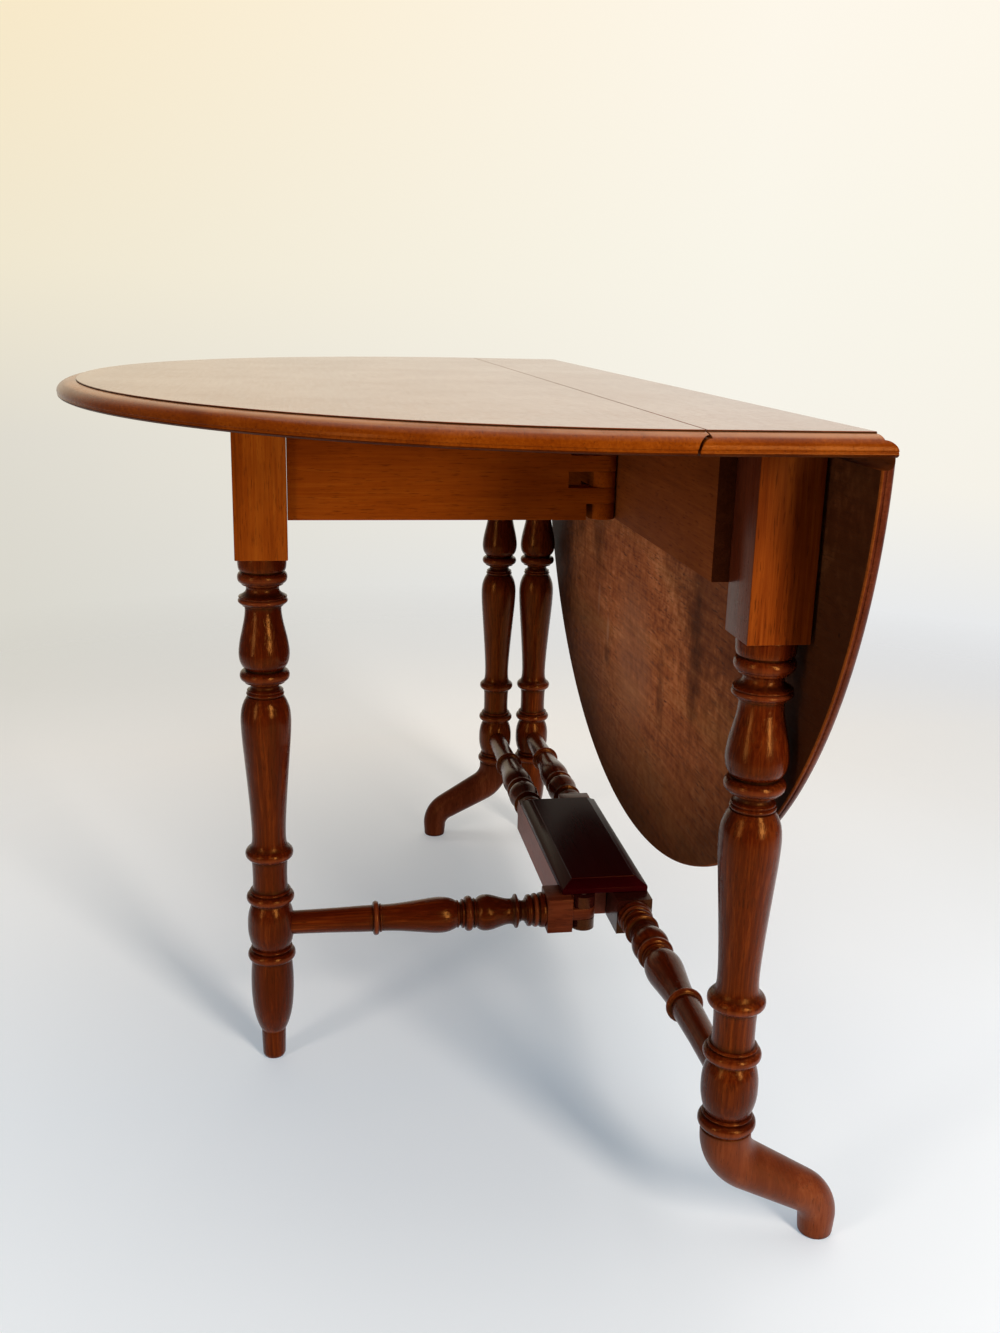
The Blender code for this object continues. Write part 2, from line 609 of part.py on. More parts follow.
def top_screw():
    head = FRAME_TOP - SCREW_GRIP - SEAT
    profile = [(0, UNDERSIDE + SCREW_BITE), (SCREW_RADIUS, UNDERSIDE + SCREW_BITE - SCREW_RADIUS),
               (SCREW_RADIUS, head), (SCREW_HEAD_RADIUS, head),
               (SCREW_HEAD_RADIUS, head - SCREW_HEAD_HEIGHT), (0, head - SCREW_HEAD_HEIGHT)]
    return turned(profile, HINGE_SIDES)


def knuckle_pin():
    return rod(KNUCKLE_PIN_RADIUS, (GATE_X, GATE_Y, RAIL_BOTTOM), (GATE_X, GATE_Y, FRAME_TOP))


def stretcher_pin():
    half = STRETCHER_BLOCK / 2
    return rod(KNUCKLE_PIN_RADIUS, (GATE_X, GATE_Y, STRETCHER_HEIGHT - half),
               (GATE_X, GATE_Y, STRETCHER_HEIGHT + half))


def hub_spacer():
    half = STRETCHER_BLOCK / 2
    wide = LEG_X - half - SEAT
    long_way = GATE_Y - FORK_SHOULDER
    return box((-wide, -long_way, STRETCHER_HEIGHT - half), (wide, long_way, STRETCHER_HEIGHT + half))


def hub_lid():
    """Fielded lid: an upright edge, then a bevelled border round a flat panel."""
    low = STRETCHER_HEIGHT + STRETCHER_BLOCK / 2 + SEAT
    bm = bmesh.new()
    bmesh.ops.create_cube(bm, size=1.0)
    size = (2 * LID_HALF_WIDTH, 2 * LID_HALF_LENGTH, LID_EDGE)
    bmesh.ops.scale(bm, vec=size, verts=bm.verts)
    bmesh.ops.translate(bm, vec=(0, 0, low + LID_EDGE / 2), verts=bm.verts)
    upper = [face for face in bm.faces if face.normal.z > 0.5]
    bmesh.ops.inset_region(bm, faces=upper, thickness=LID_FIELD, use_even_offset=True)
    rise = LID_THICKNESS - LID_EDGE
    bmesh.ops.translate(bm, vec=(0, 0, rise), verts=list(upper[0].verts))
    return new_mesh(bm, "lid")


def material(name, colour, roughness, metallic):
    if name in bpy.data.materials:
        return bpy.data.materials[name]
    made = bpy.data.materials.new(name)
    made.use_nodes = True
    shader = made.node_tree.nodes["Principled BSDF"]
    shader.inputs["Base Color"].default_value = (*colour, 1)
    shader.inputs["Roughness"].default_value = roughness
    shader.inputs["Metallic"].default_value = metallic
    return made


FINISHES = {
    "top_wood": ((0.34, 0.13, 0.045), 0.25, 0.0),
    "leg_wood": ((0.16, 0.035, 0.012), 0.30, 0.0),
    "rail_wood": ((0.25, 0.085, 0.026), 0.38, 0.0),
    "core_wood": ((0.14, 0.055, 0.022), 0.55, 0.0),
    "lid_wood": ((0.035, 0.008, 0.006), 0.22, 0.0),
    "iron": ((0.07, 0.065, 0.06), 0.50, 1.0),
    "brass": ((0.45, 0.30, 0.11), 0.42, 1.0),
}


def axis_empty(name, place):
    empty = bpy.data.objects.new(name, None)
    empty.location = place
    parts.objects.link(empty)
    return empty


def add(name, mesh, finish, pose=Matrix.Identity(4), axis=None):
    thing = bpy.data.objects.new(name, mesh)
    parts.objects.link(thing)
    thing.matrix_world = pose
    if axis:
        bpy.context.view_layer.update()
        thing.parent = axis
        thing.matrix_parent_inverse = axis.matrix_world.inverted()
        thing.matrix_world = pose
    if not mesh.materials:
        mesh.materials.append(material(finish, *FINISHES[finish]))
        mesh.shade_smooth()
        mesh.set_sharp_from_angle(angle=math.radians(40))
    return thing


def about(place, angle, axis):
    """Turn about an axis through a place."""
    return Matrix.Translation(place) @ Matrix.Rotation(angle, 4, axis) @ Matrix.Translation(-Vector(place))


def build():
    right_gate = axis_empty("right_gate_axis", (GATE_X, GATE_Y, 0))
    left_gate = axis_empty("left_gate_axis", (-GATE_X, -GATE_Y, 0))
    right_joint = axis_empty("right_leaf_axis", (TOP_HALF_WIDTH, 0, PIN_HEIGHT))
    left_joint = axis_empty("left_leaf_axis", (-TOP_HALF_WIDTH, 0, PIN_HEIGHT))
    opened = about((-GATE_X, -GATE_Y, 0), math.radians(-90), "Z") @ TURN_AROUND
    hanging = about((TOP_HALF_WIDTH, 0, PIN_HEIGHT), math.radians(90), "Y")

    add("centre_top", centre_top(), "top_wood")
    add("core_rail", core_rail(), "core_wood")
    screw = top_screw()
    for number, y in enumerate(screw_places(), 1):
        add(f"top_screw_{number}", screw, "iron", Matrix.Translation((0, y, 0)))
    add("hub_spacer", hub_spacer(), "rail_wood")
    add("hub_lid", hub_lid(), "lid_wood")

    fixed = {
        ("front_leg", "back_leg"): (leg(fixed_leg_profile(), LEG_X, -LEG_Y, 1), "leg_wood"),
        ("front_foot", "back_foot"): (scrolled_foot(), "leg_wood"),
        ("right_fixed_rail", "left_fixed_rail"): (rail(-BLOCK_INNER_Y, -1), "rail_wood"),
        ("front_stretcher", "back_stretcher"): (stretcher(-1, -LEG_Y, -HUB_HALF_LENGTH), "leg_wood"),
        ("right_knuckle_pin", "left_knuckle_pin"): (knuckle_pin(), "iron"),
        ("right_stretcher_pin", "left_stretcher_pin"): (stretcher_pin(), "iron"),
    }
    for (name, twin), (mesh, finish) in fixed.items():
        add(name, mesh, finish)
        add(twin, mesh, finish, TURN_AROUND)

    gate = {
        "gate_leg": (leg(gate_leg_profile(), LEG_X, LEG_Y, -1), "leg_wood"),
        "fly_rail": (rail(BLOCK_INNER_Y, 1), "rail_wood"),
        "gate_stretcher": (stretcher(1, LEG_Y, GATE_Y + GATE_BLOCK_END), "leg_wood"),
    }
    for name, (mesh, finish) in gate.items():
        add("right_" + name, mesh, finish, axis=right_gate)
        add("left_" + name, mesh, finish, opened, left_gate)

    drop = leaf()
    add("right_leaf", drop, "top_wood", hanging, right_joint)
    add("left_leaf", drop, "top_wood", TURN_AROUND, left_joint)
    top_plate = hinge_plate(HINGE_TOP_PLATE, -1, (0, 2))
    leaf_plate = hinge_plate(HINGE_LEAF_PLATE, 1, (1,))
    pin = hinge_pin()
    for number, y in enumerate(hinge_places(), 1):
        place = Matrix.Translation((0, y, 0))
        for side, turn, swing, axis in (("right", Matrix.Identity(4), hanging, right_joint),
                                        ("left", TURN_AROUND, TURN_AROUND, left_joint)):
            add(f"{side}_hinge_top_plate_{number}", top_plate, "brass", turn @ place)
            add(f"{side}_hinge_pin_{number}", pin, "brass", turn @ place)
            add(f"{side}_hinge_leaf_plate_{number}", leaf_plate, "brass", swing @ place, axis)


build()
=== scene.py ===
import math

import bmesh
import bpy
from mathutils import Matrix, Vector


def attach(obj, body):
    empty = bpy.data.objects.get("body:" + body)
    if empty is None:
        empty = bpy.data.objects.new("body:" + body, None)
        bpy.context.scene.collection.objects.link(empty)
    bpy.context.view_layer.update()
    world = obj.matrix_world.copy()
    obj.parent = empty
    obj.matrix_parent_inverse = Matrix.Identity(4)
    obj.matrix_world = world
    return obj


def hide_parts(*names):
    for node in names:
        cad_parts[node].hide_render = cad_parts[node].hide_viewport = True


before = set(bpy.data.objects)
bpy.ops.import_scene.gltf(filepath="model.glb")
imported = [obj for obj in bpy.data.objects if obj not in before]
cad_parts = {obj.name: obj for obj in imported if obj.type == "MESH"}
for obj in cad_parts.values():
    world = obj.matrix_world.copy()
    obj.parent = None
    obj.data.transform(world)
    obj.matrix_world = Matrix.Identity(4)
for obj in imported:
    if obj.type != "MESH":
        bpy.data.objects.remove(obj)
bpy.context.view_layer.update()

# Places that several pieces share, in metres
table = {
    "topHeight": 0.720, "thickness": 0.016,
    "halfWidth": 0.060, "pinHeight": 0.7065,      # rule joint's axis
    "legX": 0.0285, "legY": 0.4646, "blockHalf": 0.0254,
    "frameTop": 0.7037, "blockBottom": 0.5537, "railBottom": 0.5917,
    "gateX": 0.024, "gateY": 0.1266,              # right gate's axis
    "ballHeight": 0.1575, "footTop": 0.116,
    "gap": 0.0003, "ease": 0.0006,
    "past": 0.02, "near": 0.0001,                 # how far cutters overshoot, and what counts as touching
    "facing": 0.9,                                # from this share of an axis a normal counts as along it
    "weld": 0.000001,
}
underside = table["topHeight"] - table["thickness"]
turnAround = Matrix.Rotation(math.pi, 4, "Z")


def about(place, degrees, axis):
    there = Matrix.Translation(place)
    return there @ Matrix.Rotation(math.radians(degrees), 4, axis) @ there.inverted()


gateOpened = about((-table["gateX"], -table["gateY"], 0), -90, "Z") @ turnAround
leafHanging = about((table["halfWidth"], 0, table["pinHeight"]), 90, "Y")


topSettings = {
    "halfLength": 0.552, "reach": 0.478, "edgeWidth": 0.018, "drop": 0.0096, "quirk": 0.0014,
    "ruleRadius": 0.009, "ruleClear": 0.0020, "jointGap": 0.0013, "jointSteps": 12,
    "sides": 240, "steps": 14, "arris": 0.0004, "arrisIn": 0.0005, "smooth": 30,
    "rubbedAndHighlight": (0.00108, 0.00288),       # depth below the quirk where the painted highlight along the shoulder is full, and where it ends
    # below the thumb curve, outward from the quirk and depth below the top: a groove, then a small bead
    "nose": [(0.0179, 0.0116), (0.0173, 0.0119), (0.0171, 0.0124), (0.0173, 0.0129), (0.0176, 0.0133),
             (0.0177, 0.0138), (0.0175, 0.0146), (0.0166, 0.0155), (0.0155, 0.0160)],
    "bead": 0.0138,
}


# Shader maths

class Strand:
    def __init__(self, tree, socket):
        self.tree, self.socket = tree, socket

    def node(self, kind, settings=None, inputs=None, output=0):
        made = self.tree.nodes.new(kind)
        for key, value in (settings or {}).items():
            if key == "stops":
                ramp = made.color_ramp
                while len(ramp.elements) < len(value):
                    ramp.elements.new(0.5)
                for element, (place, colour) in zip(ramp.elements, value):
                    element.position = place
                    element.color = (*colour, 1)
            else:
                setattr(made, key, value)
        for key, value in (inputs or {}).items():
            if isinstance(value, Strand):
                self.tree.links.new(value.socket, made.inputs[key])
            else:
                made.inputs[key].default_value = value
        return Strand(self.tree, made.outputs[output])

    def maths(self, operation, other=0.0, flipped=False):
        pair = (other, self) if flipped else (self, other)
        return self.node("ShaderNodeMath", {"operation": operation}, dict(enumerate(pair)))

    def __add__(self, other):
        return self.maths("ADD", other)

    def __sub__(self, other):
        return self.maths("SUBTRACT", other)

    def __rsub__(self, other):
        return self.maths("SUBTRACT", other, True)

    def __mul__(self, other):
        return self.maths("MULTIPLY", other)

    __radd__, __rmul__ = __add__, __mul__

    def clipped(self, low, high):       # 0 below low, 1 above high
        return self.node("ShaderNodeMapRange", {"clamp": True}, {0: self, 1: low, 2: high, 3: 0.0, 4: 1.0})

    def noise(self, scale, detail=2.0, rough=0.5, bend=0.0):
        spot = self.node("ShaderNodeMapping", {}, {"Vector": self, "Scale": scale})
        return self.node("ShaderNodeTexNoise", {}, {"Vector": spot, "Scale": 1.0, "Detail": detail,
                                                    "Roughness": rough, "Distortion": bend})

    def tint(self, first, second):      # this strand is the factor
        return self.node("ShaderNodeMix", {"data_type": "RGBA"}, {0: self, 6: first, 7: second}, 2)

    def ramp(self, stops):
        return self.node("ShaderNodeValToRGB", {"stops": stops}, {0: self})

    def bump(self, strength, distance):
        return self.node("ShaderNodeBump", {}, {"Strength": strength, "Distance": distance, "Height": self})

    def vector(self, operation, other=(0, 0, 0)):
        gives = 1 if operation in ("LENGTH", "DOT_PRODUCT") else 0
        return self.node("ShaderNodeVectorMath", {"operation": operation}, {0: self, 1: other}, gives)

    def part(self, axis):
        return self.node("ShaderNodeSeparateXYZ", {}, {0: self}, "xyz".index(axis))


def startFinish(name):
    made = bpy.data.materials.new(name)
    made.use_nodes = True
    tree = made.node_tree
    spot = tree.nodes.new("ShaderNodeTexCoord").outputs["Object"]
    return made, Strand(tree, spot), tree.nodes["Principled BSDF"]


def endFinish(made, shader, links, fixed):
    tree = made.node_tree
    for key, strand in links.items():
        tree.links.new(strand.socket, shader.inputs[key])
    for key, value in fixed.items():
        shader.inputs[key].default_value = value
    return made


def grainScale(axis, across, along):
    return tuple(along if letter == axis else across for letter in "xyz")


def even(scale):
    return (scale, scale, scale)


def colour(rgb, times=1.0):
    return (*(times * part for part in rgb), 1)


# Woods: tones run from the dark to the light of the grain; what a wood doesn't give is as below
sharedWood = {
    "axes": "y", "gloss": 0.05, "coat": 0.0, "rub": 0.45, "patina": 0.5, "contrast": 0.9,
    "pores": 1.0, "ripple": 0.4, "bump": 0.0004, "sheen": (1.0, 0.41, 0.09),
    # scales of the patterns: across and along the grain, or even
    "figure": (24, 2.0), "streaks": (400, 11), "poreLines": (760, 60), "patches": 8, "ripples": 150,
}
woods = {
    "top": {"tones": ((0.18, 0.045, 0.01), (0.29, 0.095, 0.028), (0.4, 0.16, 0.058)), "rough": 0.2,
        "gloss": 0.45, "coat": 0.39, "patina": 0.2, "contrast": 0.6, "figure": (9, 0.9),
        "ripple": 0.05},
    # edge: its lighter worn colour along the moulding's shoulder is a painted highlight
    "edge": {"tones": ((0.085, 0.011, 0.001), (0.165, 0.029, 0.001), (0.28, 0.062, 0.004)), "rough": 0.2,
        "gloss": 0.1, "worn": (0.52, 0.23, 0.1), "rub": 0.68, "patina": 0.3, "contrast": 0.8,
        "figure": (16, 1.5), "pores": 0.8, "ripple": 0.2},
    # nose: the moulding below the bead, painted dark as shade
    "nose": {"tones": ((0.022, 0.003, 0.0005), (0.055, 0.009, 0.001), (0.1, 0.022, 0.002)), "rough": 0.32,
        "gloss": 0.04, "patina": 0.3, "contrast": 0.8, "figure": (16, 1.5), "pores": 0.8,
        "ripple": 0.2},
    # quirk: dark polish in the step, and painted shade
    "quirk": {"tones": ((0.01, 0.003, 0.001), (0.02, 0.006, 0.002), (0.035, 0.011, 0.004)), "rough": 0.6,
        "gloss": 0.1, "patina": 0.2, "contrast": 0.6, "figure": (16, 1.5), "pores": 0.5,
        "ripple": 0.2},
    # end grain, which drinks more stain, painted darker still as shade
    "endGrain": {"tones": ((0.025, 0.005, 0.001), (0.05, 0.01, 0.003), (0.085, 0.02, 0.006)),
        "rough": 0.6, "patina": 0.4, "contrast": 0.8, "figure": (60, 40), "ripple": 0.5},
    "block": {"tones": ((0.12, 0.017, 0.001), (0.28, 0.052, 0.003), (0.42, 0.105, 0.008)), "rough": 0.3,
        "gloss": 0.12, "axes": "z", "contrast": 1.1, "figure": (30, 2.5)},
    # the fixed legs' blocks: a darker copy of block, as painted shade
    "endBlock": {"tones": ((0.06, 0.008, 0.001), (0.14, 0.022, 0.002), (0.25, 0.052, 0.005)),
        "rough": 0.34, "axes": "z", "patina": 0.6, "contrast": 1.2, "figure": (34, 2.0)},
    "turning": {"tones": ((0.022, 0.002, 0.0005), (0.06, 0.0062, 0.0008), (0.165, 0.028, 0.003)),
        "rough": 0.2, "gloss": 0.25, "axes": "xyz", "contrast": 1.1, "figure": (28, 3.0),
        "pores": 0.9, "ripple": 2.0},
    "foot": {"tones": ((0.05, 0.008, 0.002), (0.125, 0.022, 0.006), (0.23, 0.058, 0.018)), "rough": 0.36,
        "gloss": 0.3, "axes": "z", "contrast": 0.8, "figure": (26, 4.0), "pores": 0.9, "ripple": 1.0},
    # a darker copy of the woods, painted shade on the fixed legs' block sides, the back foot, the gate
    # stretchers' blocks and the hanging leaf's edge
    "joint": {"tones": ((0.035, 0.005, 0.002), (0.085, 0.015, 0.005), (0.16, 0.038, 0.014)), "rough": 0.3,
        "gloss": 0.1, "axes": "xyz", "figure": (30, 2.0)},
    # hub: painted dark as shade under the hub's lid
    "hub": {"tones": ((0.01, 0.001, 0.0008), (0.024, 0.003, 0.002), (0.05, 0.009, 0.006)), "rough": 0.2,
        "gloss": 0.45, "figure": (26, 2.0), "pores": 0.8, "ripple": 0.5},
    "rail": {"tones": ((0.12, 0.017, 0.001), (0.24, 0.042, 0.002), (0.34, 0.078, 0.006)), "rough": 0.5,
        "gloss": 0.06, "axes": "xy", "patina": 0.55, "contrast": 0.8, "figure": (20, 2.0)},
    # dull: a fixed rail's sides, without gloss and a shade darker as painted shade
    "dull": {"tones": ((0.07, 0.01, 0.001), (0.14, 0.026, 0.002), (0.21, 0.05, 0.005)), "rough": 0.7,
        "gloss": 0.0, "patina": 0.6, "figure": (20, 2.0)},
    # inside: slot ends and the joint's cove, painted dark as shade
    "inside": {"tones": ((0.022, 0.005, 0.001), (0.05, 0.011, 0.003), (0.095, 0.026, 0.007)),
        "rough": 0.8, "gloss": 0.0, "axes": "xy", "patina": 0.6, "ripple": 0.6},
    "core": {"tones": ((0.085, 0.017, 0.002), (0.165, 0.037, 0.006), (0.25, 0.068, 0.014)), "rough": 0.65,
        "gloss": 0.03, "contrast": 0.8, "figure": (18, 1.6)},
    # spacer: pinker and paler than the hub, as a painted reflection of the pale floor over the wood's own
    # tone
    "spacer": {"tones": ((0.1, 0.019, 0.009), (0.18, 0.04, 0.022), (0.27, 0.07, 0.042)), "rough": 0.34,
        "gloss": 0.12, "patina": 0.4, "contrast": 0.7},
    "lid": {"tones": ((0.014, 0.0002, 0.0006), (0.023, 0.0004, 0.0011), (0.035, 0.001, 0.002)),
        "rough": 0.22, "gloss": 0.02, "patina": 0.3, "contrast": 0.5, "figure": (20, 2.0),
        "pores": 0.0, "ripple": 0.12},
}


def woodFinish(kind, axis):
    wood = sharedWood | woods[kind]
    made, spot, shader = startFinish(kind + "_wood_" + axis)
    figure = spot.noise(grainScale(axis, *wood["figure"]), 3.0, 0.55, 0.8)
    streak = spot.noise(grainScale(axis, *wood["streaks"]), 5.0, 0.62, 0.15)
    pores = spot.noise(grainScale(axis, *wood["poreLines"]), 2.0, 0.6).clipped(0.58, 0.68) * wood["pores"]
    patina = spot.noise(even(wood["patches"]), 4.0, 0.6)
    ripple = spot.noise(even(wood["ripples"]), 3.0, 0.6)
    tone = (figure - 0.5) * (0.9 * wood["contrast"]) + (streak - 0.5) * (0.8 * wood["contrast"]) + 0.5
    dark, middle, light = wood["tones"]
    base = tone.ramp(((0.12, dark), (0.5, middle), (0.88, light)))
    base = (pores * 0.6).tint(base, colour(dark, 0.6))
    base = (patina.clipped(0.45, 0.75) * wood["patina"]).tint(base, colour(dark))
    grime, wear = (spot.node("ShaderNodeAttribute", {"attribute_name": name}, None, 2)
                   for name in ("grime", "wear"))
    # darker in the turnings' hollows and at the feet's ends, where the layer is set
    base = (grime * 0.9).tint(base, colour(dark, 0.1))
    rubbedAndHighlight = wear * patina.clipped(0.25, 0.5)
    # lighter where the layer is set: wear on the turnings' bead crests, and a painted highlight along the
    # moulding's shoulder
    worn = wood.get("worn", tuple(1.3 * part + 0.01 for part in light))
    base = (rubbedAndHighlight * wood["rub"]).tint(base, colour(worn))
    rough = (streak - 0.5) * 0.08 + (patina - 0.5) * 0.12 + (ripple - 0.5) * 0.10
    rough = rough + grime * 0.3 + wood["rough"]
    bump = (streak * 0.3 - pores * 0.5 + ripple * wood["ripple"]).bump(0.35, wood["bump"])
    return endFinish(made, shader, {"Base Color": base, "Roughness": rough, "Normal": bump},
                     {"Coat Weight": wood["coat"], "Coat Roughness": 0.12, "Coat IOR": 1.4, "IOR": 1.5,
                      "Specular IOR Level": wood["gloss"], "Specular Tint": colour(wood["sheen"])})


bareSettings = {
    "tones": ((0.19, 0.042, 0.010), (0.42, 0.118, 0.035), (0.64, 0.23, 0.088)),
    "olive": (0.24, 0.092, 0.020), "stainAndShadow": (0.030, 0.007, 0.002), "pores": (0.045, 0.011, 0.003),
    "rub": (0.46, 0.22, 0.12), "speck": (0.012, 0.004, 0.002), "sheen": (1.0, 0.6, 0.4), "bump": 0.0005,
    # scales of the patterns: across and along the grain, or even
    "figure": (13, 1.8), "streaks": (210, 7), "poreLines": (620, 60), "clouds": 11, "grit": 70, "specks": 26,
    # marks: place across the leaf and along the grain, half sizes, strength; rubs are light. The first and
    # the last of the stains are painted shadows, of the folded gate's leg and of the front leg, which stand
    # beside the leaf
    "stainsAndShadows": ((0.15, 0.47, 0.34, 0.17, 0.9), (0.17, -0.29, 0.12, 0.22, 0.6),
               (0.24, -0.208, 0.09, 0.02, 0.5), (0.31, -0.10, 0.05, 0.016, 0.4),
               (0.33, 0.137, 0.02, 0.018, 0.5), (0.16, 0.21, 0.07, 0.04, 0.4),
               (0.20, -0.50, 0.30, 0.14, 0.8)),
    "rubs": ((0.30, 0.138, 0.020, 0.007, 0.5), (0.27, 0.19, 0.020, 0.006, 0.35),
             (0.30, 0.02, 0.09, 0.09, 0.25)),
}


def bareFinish(name, turn, scale, shift):
    # dull underside of a leaf: open grain, dark rim, stains, painted shadows of the legs beside it, and
    # knocks; the turn, scale and shift make its places read as distance out from the joint and along the
    # grain
    made, spot, shader = startFinish(name)
    dark, middle, light = bareSettings["tones"]
    flat = spot.node("ShaderNodeMapping", {}, {"Vector": spot, "Rotation": turn, "Scale": scale,
                                               "Location": shift})
    figure = spot.noise(grainScale("y", *bareSettings["figure"]), 3.0, 0.55, 0.9)
    streak = spot.noise(grainScale("y", *bareSettings["streaks"]), 5.0, 0.68, 0.3)
    cloud = spot.noise(even(bareSettings["clouds"]), 5.0, 0.62)
    grit = spot.noise(even(bareSettings["grit"]), 4.0, 0.65)
    tone = (figure - 0.5) * 0.8 + (streak - 0.5) * 0.95 + (cloud - 0.5) * 0.9 + (grit - 0.5) * 0.9 + 0.5
    base = tone.ramp(((0.15, dark), (0.5, middle), (0.85, light)))
    pores = spot.noise(grainScale("y", *bareSettings["poreLines"]), 3.0, 0.7, 0.3).clipped(0.55, 0.66)
    base = (pores * cloud.clipped(0.34, 0.56) * 0.9).tint(base, colour(bareSettings["pores"]))
    base = (figure.clipped(0.42, 0.62) * 0.4).tint(base, colour(bareSettings["olive"]))
    oval = flat.vector("MULTIPLY", (1 / topSettings["reach"], 1 / topSettings["halfLength"], 0))
    rim = oval.vector("LENGTH") + (cloud - 0.5) * 0.22
    base = (rim.clipped(0.66, 1.0) * 0.85).tint(base, colour(bareSettings["stainAndShadow"]))
    # the stains darken and the rubs lighten; two of the stains are painted shadows of legs
    for marks, paint in (("stainsAndShadows", "stainAndShadow"), ("rubs", "rub")):
        for out, y, halfOut, halfAlong, strength in bareSettings[marks]:
            near = flat.vector("SUBTRACT", (out, y, 0)).vector("MULTIPLY", (1 / halfOut, 1 / halfAlong, 0))
            ragged = near.vector("LENGTH") + (cloud - 0.5) * 1.3 + (grit - 0.5) * 0.7
            base = ((1 - ragged.clipped(0.45, 1.15)) * strength).tint(base, colour(bareSettings[paint]))
    specks = spot.node("ShaderNodeTexVoronoi", {}, {"Vector": spot, "Scale": bareSettings["specks"],
                                                    "Randomness": 1.0})
    dots = (1 - specks.clipped(0.025, 0.06)) * cloud.clipped(0.42, 0.56)
    base = (dots * 0.9).tint(base, colour(bareSettings["speck"]))
    rough = (figure - 0.5) * 0.2 - pores * 0.1 + 0.65
    bump = (streak * 0.5 - pores * 0.7 - dots * 0.6 + cloud).bump(0.5, bareSettings["bump"])
    return endFinish(made, shader, {"Base Color": base, "Roughness": rough, "Normal": bump},
                     {"IOR": 1.45, "Specular IOR Level": 0.03,
                      "Specular Tint": colour(bareSettings["sheen"])})


metals = {
    "iron": {"tones": ((0.018, 0.013, 0.010), (0.055, 0.048, 0.043)), "rust": (0.085, 0.030, 0.012),
             "rough": 0.52},
    "brass": {"tones": ((0.105, 0.062, 0.022), (0.36, 0.25, 0.095)), "rust": (0.055, 0.040, 0.020),
              "rough": 0.42},
}
sharedMetal = {"clouds": 60, "spots": 240, "bump": 0.0003}


def metalFinish(kind):
    metal = metals[kind]
    made, spot, shader = startFinish(kind)
    cloud = spot.noise(even(sharedMetal["clouds"]), 4.0, 0.6)
    spots = spot.noise(even(sharedMetal["spots"]), 3.0, 0.6).clipped(0.52, 0.70)
    base = cloud.clipped(0.3, 0.7).tint(*map(colour, metal["tones"]))
    base = (spots * 0.7).tint(base, colour(metal["rust"]))
    rough = (cloud - 0.5) * 0.3 + spots * 0.25 + metal["rough"]
    bump = (spots + cloud).bump(0.3, sharedMetal["bump"])
    return endFinish(made, shader, {"Base Color": base, "Roughness": rough, "Metallic": 1 - spots * 0.6,
                                    "Normal": bump}, {})


finishes = {(kind, axis): woodFinish(kind, axis) for kind in woods
            for axis in (sharedWood | woods[kind])["axes"]}
finishes["levelUnderside"] = bareFinish("bare_underside_level", (0, 0, 0), (-1, 1, 1),
                                        (-table["halfWidth"], 0, 0))
finishes["hangingUnderside"] = bareFinish("bare_underside_hanging", (0, math.radians(-90), 0), (1, 1, 1),
                                          (table["pinHeight"], 0, 0))
finishes["iron"] = metalFinish("iron")
finishes["brass"] = metalFinish("brass")
print("finishes made:", len(finishes))


# Mesh helpers

def newObject(name, data):
    made = bpy.data.objects.new(name, data)
    bpy.context.scene.collection.objects.link(made)
    return made


def block(low, high, ease=0.0, rounds=2):
    bm = bmesh.new()
    made = bmesh.ops.create_cube(bm, size=1.0)["verts"]
    low, high = Vector(low), Vector(high)
    bmesh.ops.scale(bm, vec=high - low, verts=made)
    bmesh.ops.translate(bm, vec=(high + low) / 2, verts=made)
    if ease:
        edges = list({edge for vert in made for edge in vert.link_edges})
        soften(bm, edges, ease, rounds)
    return bm


def soften(bm, edges, width, rounds):
    bmesh.ops.bevel(bm, geom=edges, offset=width, affect="EDGES", segments=rounds, profile=0.5,
                    material=-1, clamp_overlap=True)


def easeSharp(bm, width, rounds=2, angle=40):
    sharp = [edge for edge in bm.edges
             if len(edge.link_faces) == 2 and edge.calc_face_angle() > math.radians(angle)]
    soften(bm, sharp, width, rounds)
    return bm


def vertsIn(parts):
    return [part for part in parts if isinstance(part, bmesh.types.BMVert)]


def prism(outline, axis, low, high):
    # outline in X and Z run along Y, or in Y and Z run along X
    bm = bmesh.new()
    ring = [bm.verts.new((low, a, b) if axis == "x" else (a, low, b)) for a, b in outline]
    edges = [bm.edges.new(pair) for pair in zip(ring, ring[1:] + ring[:1])]
    face = bmesh.ops.contextual_create(bm, geom=edges)["faces"]
    grown = bmesh.ops.extrude_face_region(bm, geom=face)["geom"]
    push = Vector([high - low if letter == axis else 0 for letter in "xyz"])
    bmesh.ops.translate(bm, vec=push, verts=vertsIn(grown))
    bmesh.ops.recalc_face_normals(bm, faces=bm.faces)
    return bm


def sweep(sections, sides):
    # circle carried from section to section, both ends closed
    bm = bmesh.new()
    ring = bmesh.ops.create_circle(bm, radius=1.0, segments=sides)["verts"]
    edges = firstEdges = list({edge for vert in ring for edge in vert.link_edges})
    placed = Matrix.Identity(4)
    for k, section in enumerate(sections):
        if k:
            grown = bmesh.ops.extrude_edge_only(bm, edges=edges)["geom"]
            ring = vertsIn(grown)
            inRing = set(ring)
            edges = [part for part in grown if isinstance(part, bmesh.types.BMEdge)
                     and all(vert in inRing for vert in part.verts)]
        bmesh.ops.transform(bm, matrix=section @ placed.inverted(), verts=ring)
        placed = section
    bmesh.ops.contextual_create(bm, geom=firstEdges)
    bmesh.ops.contextual_create(bm, geom=edges)
    return bm


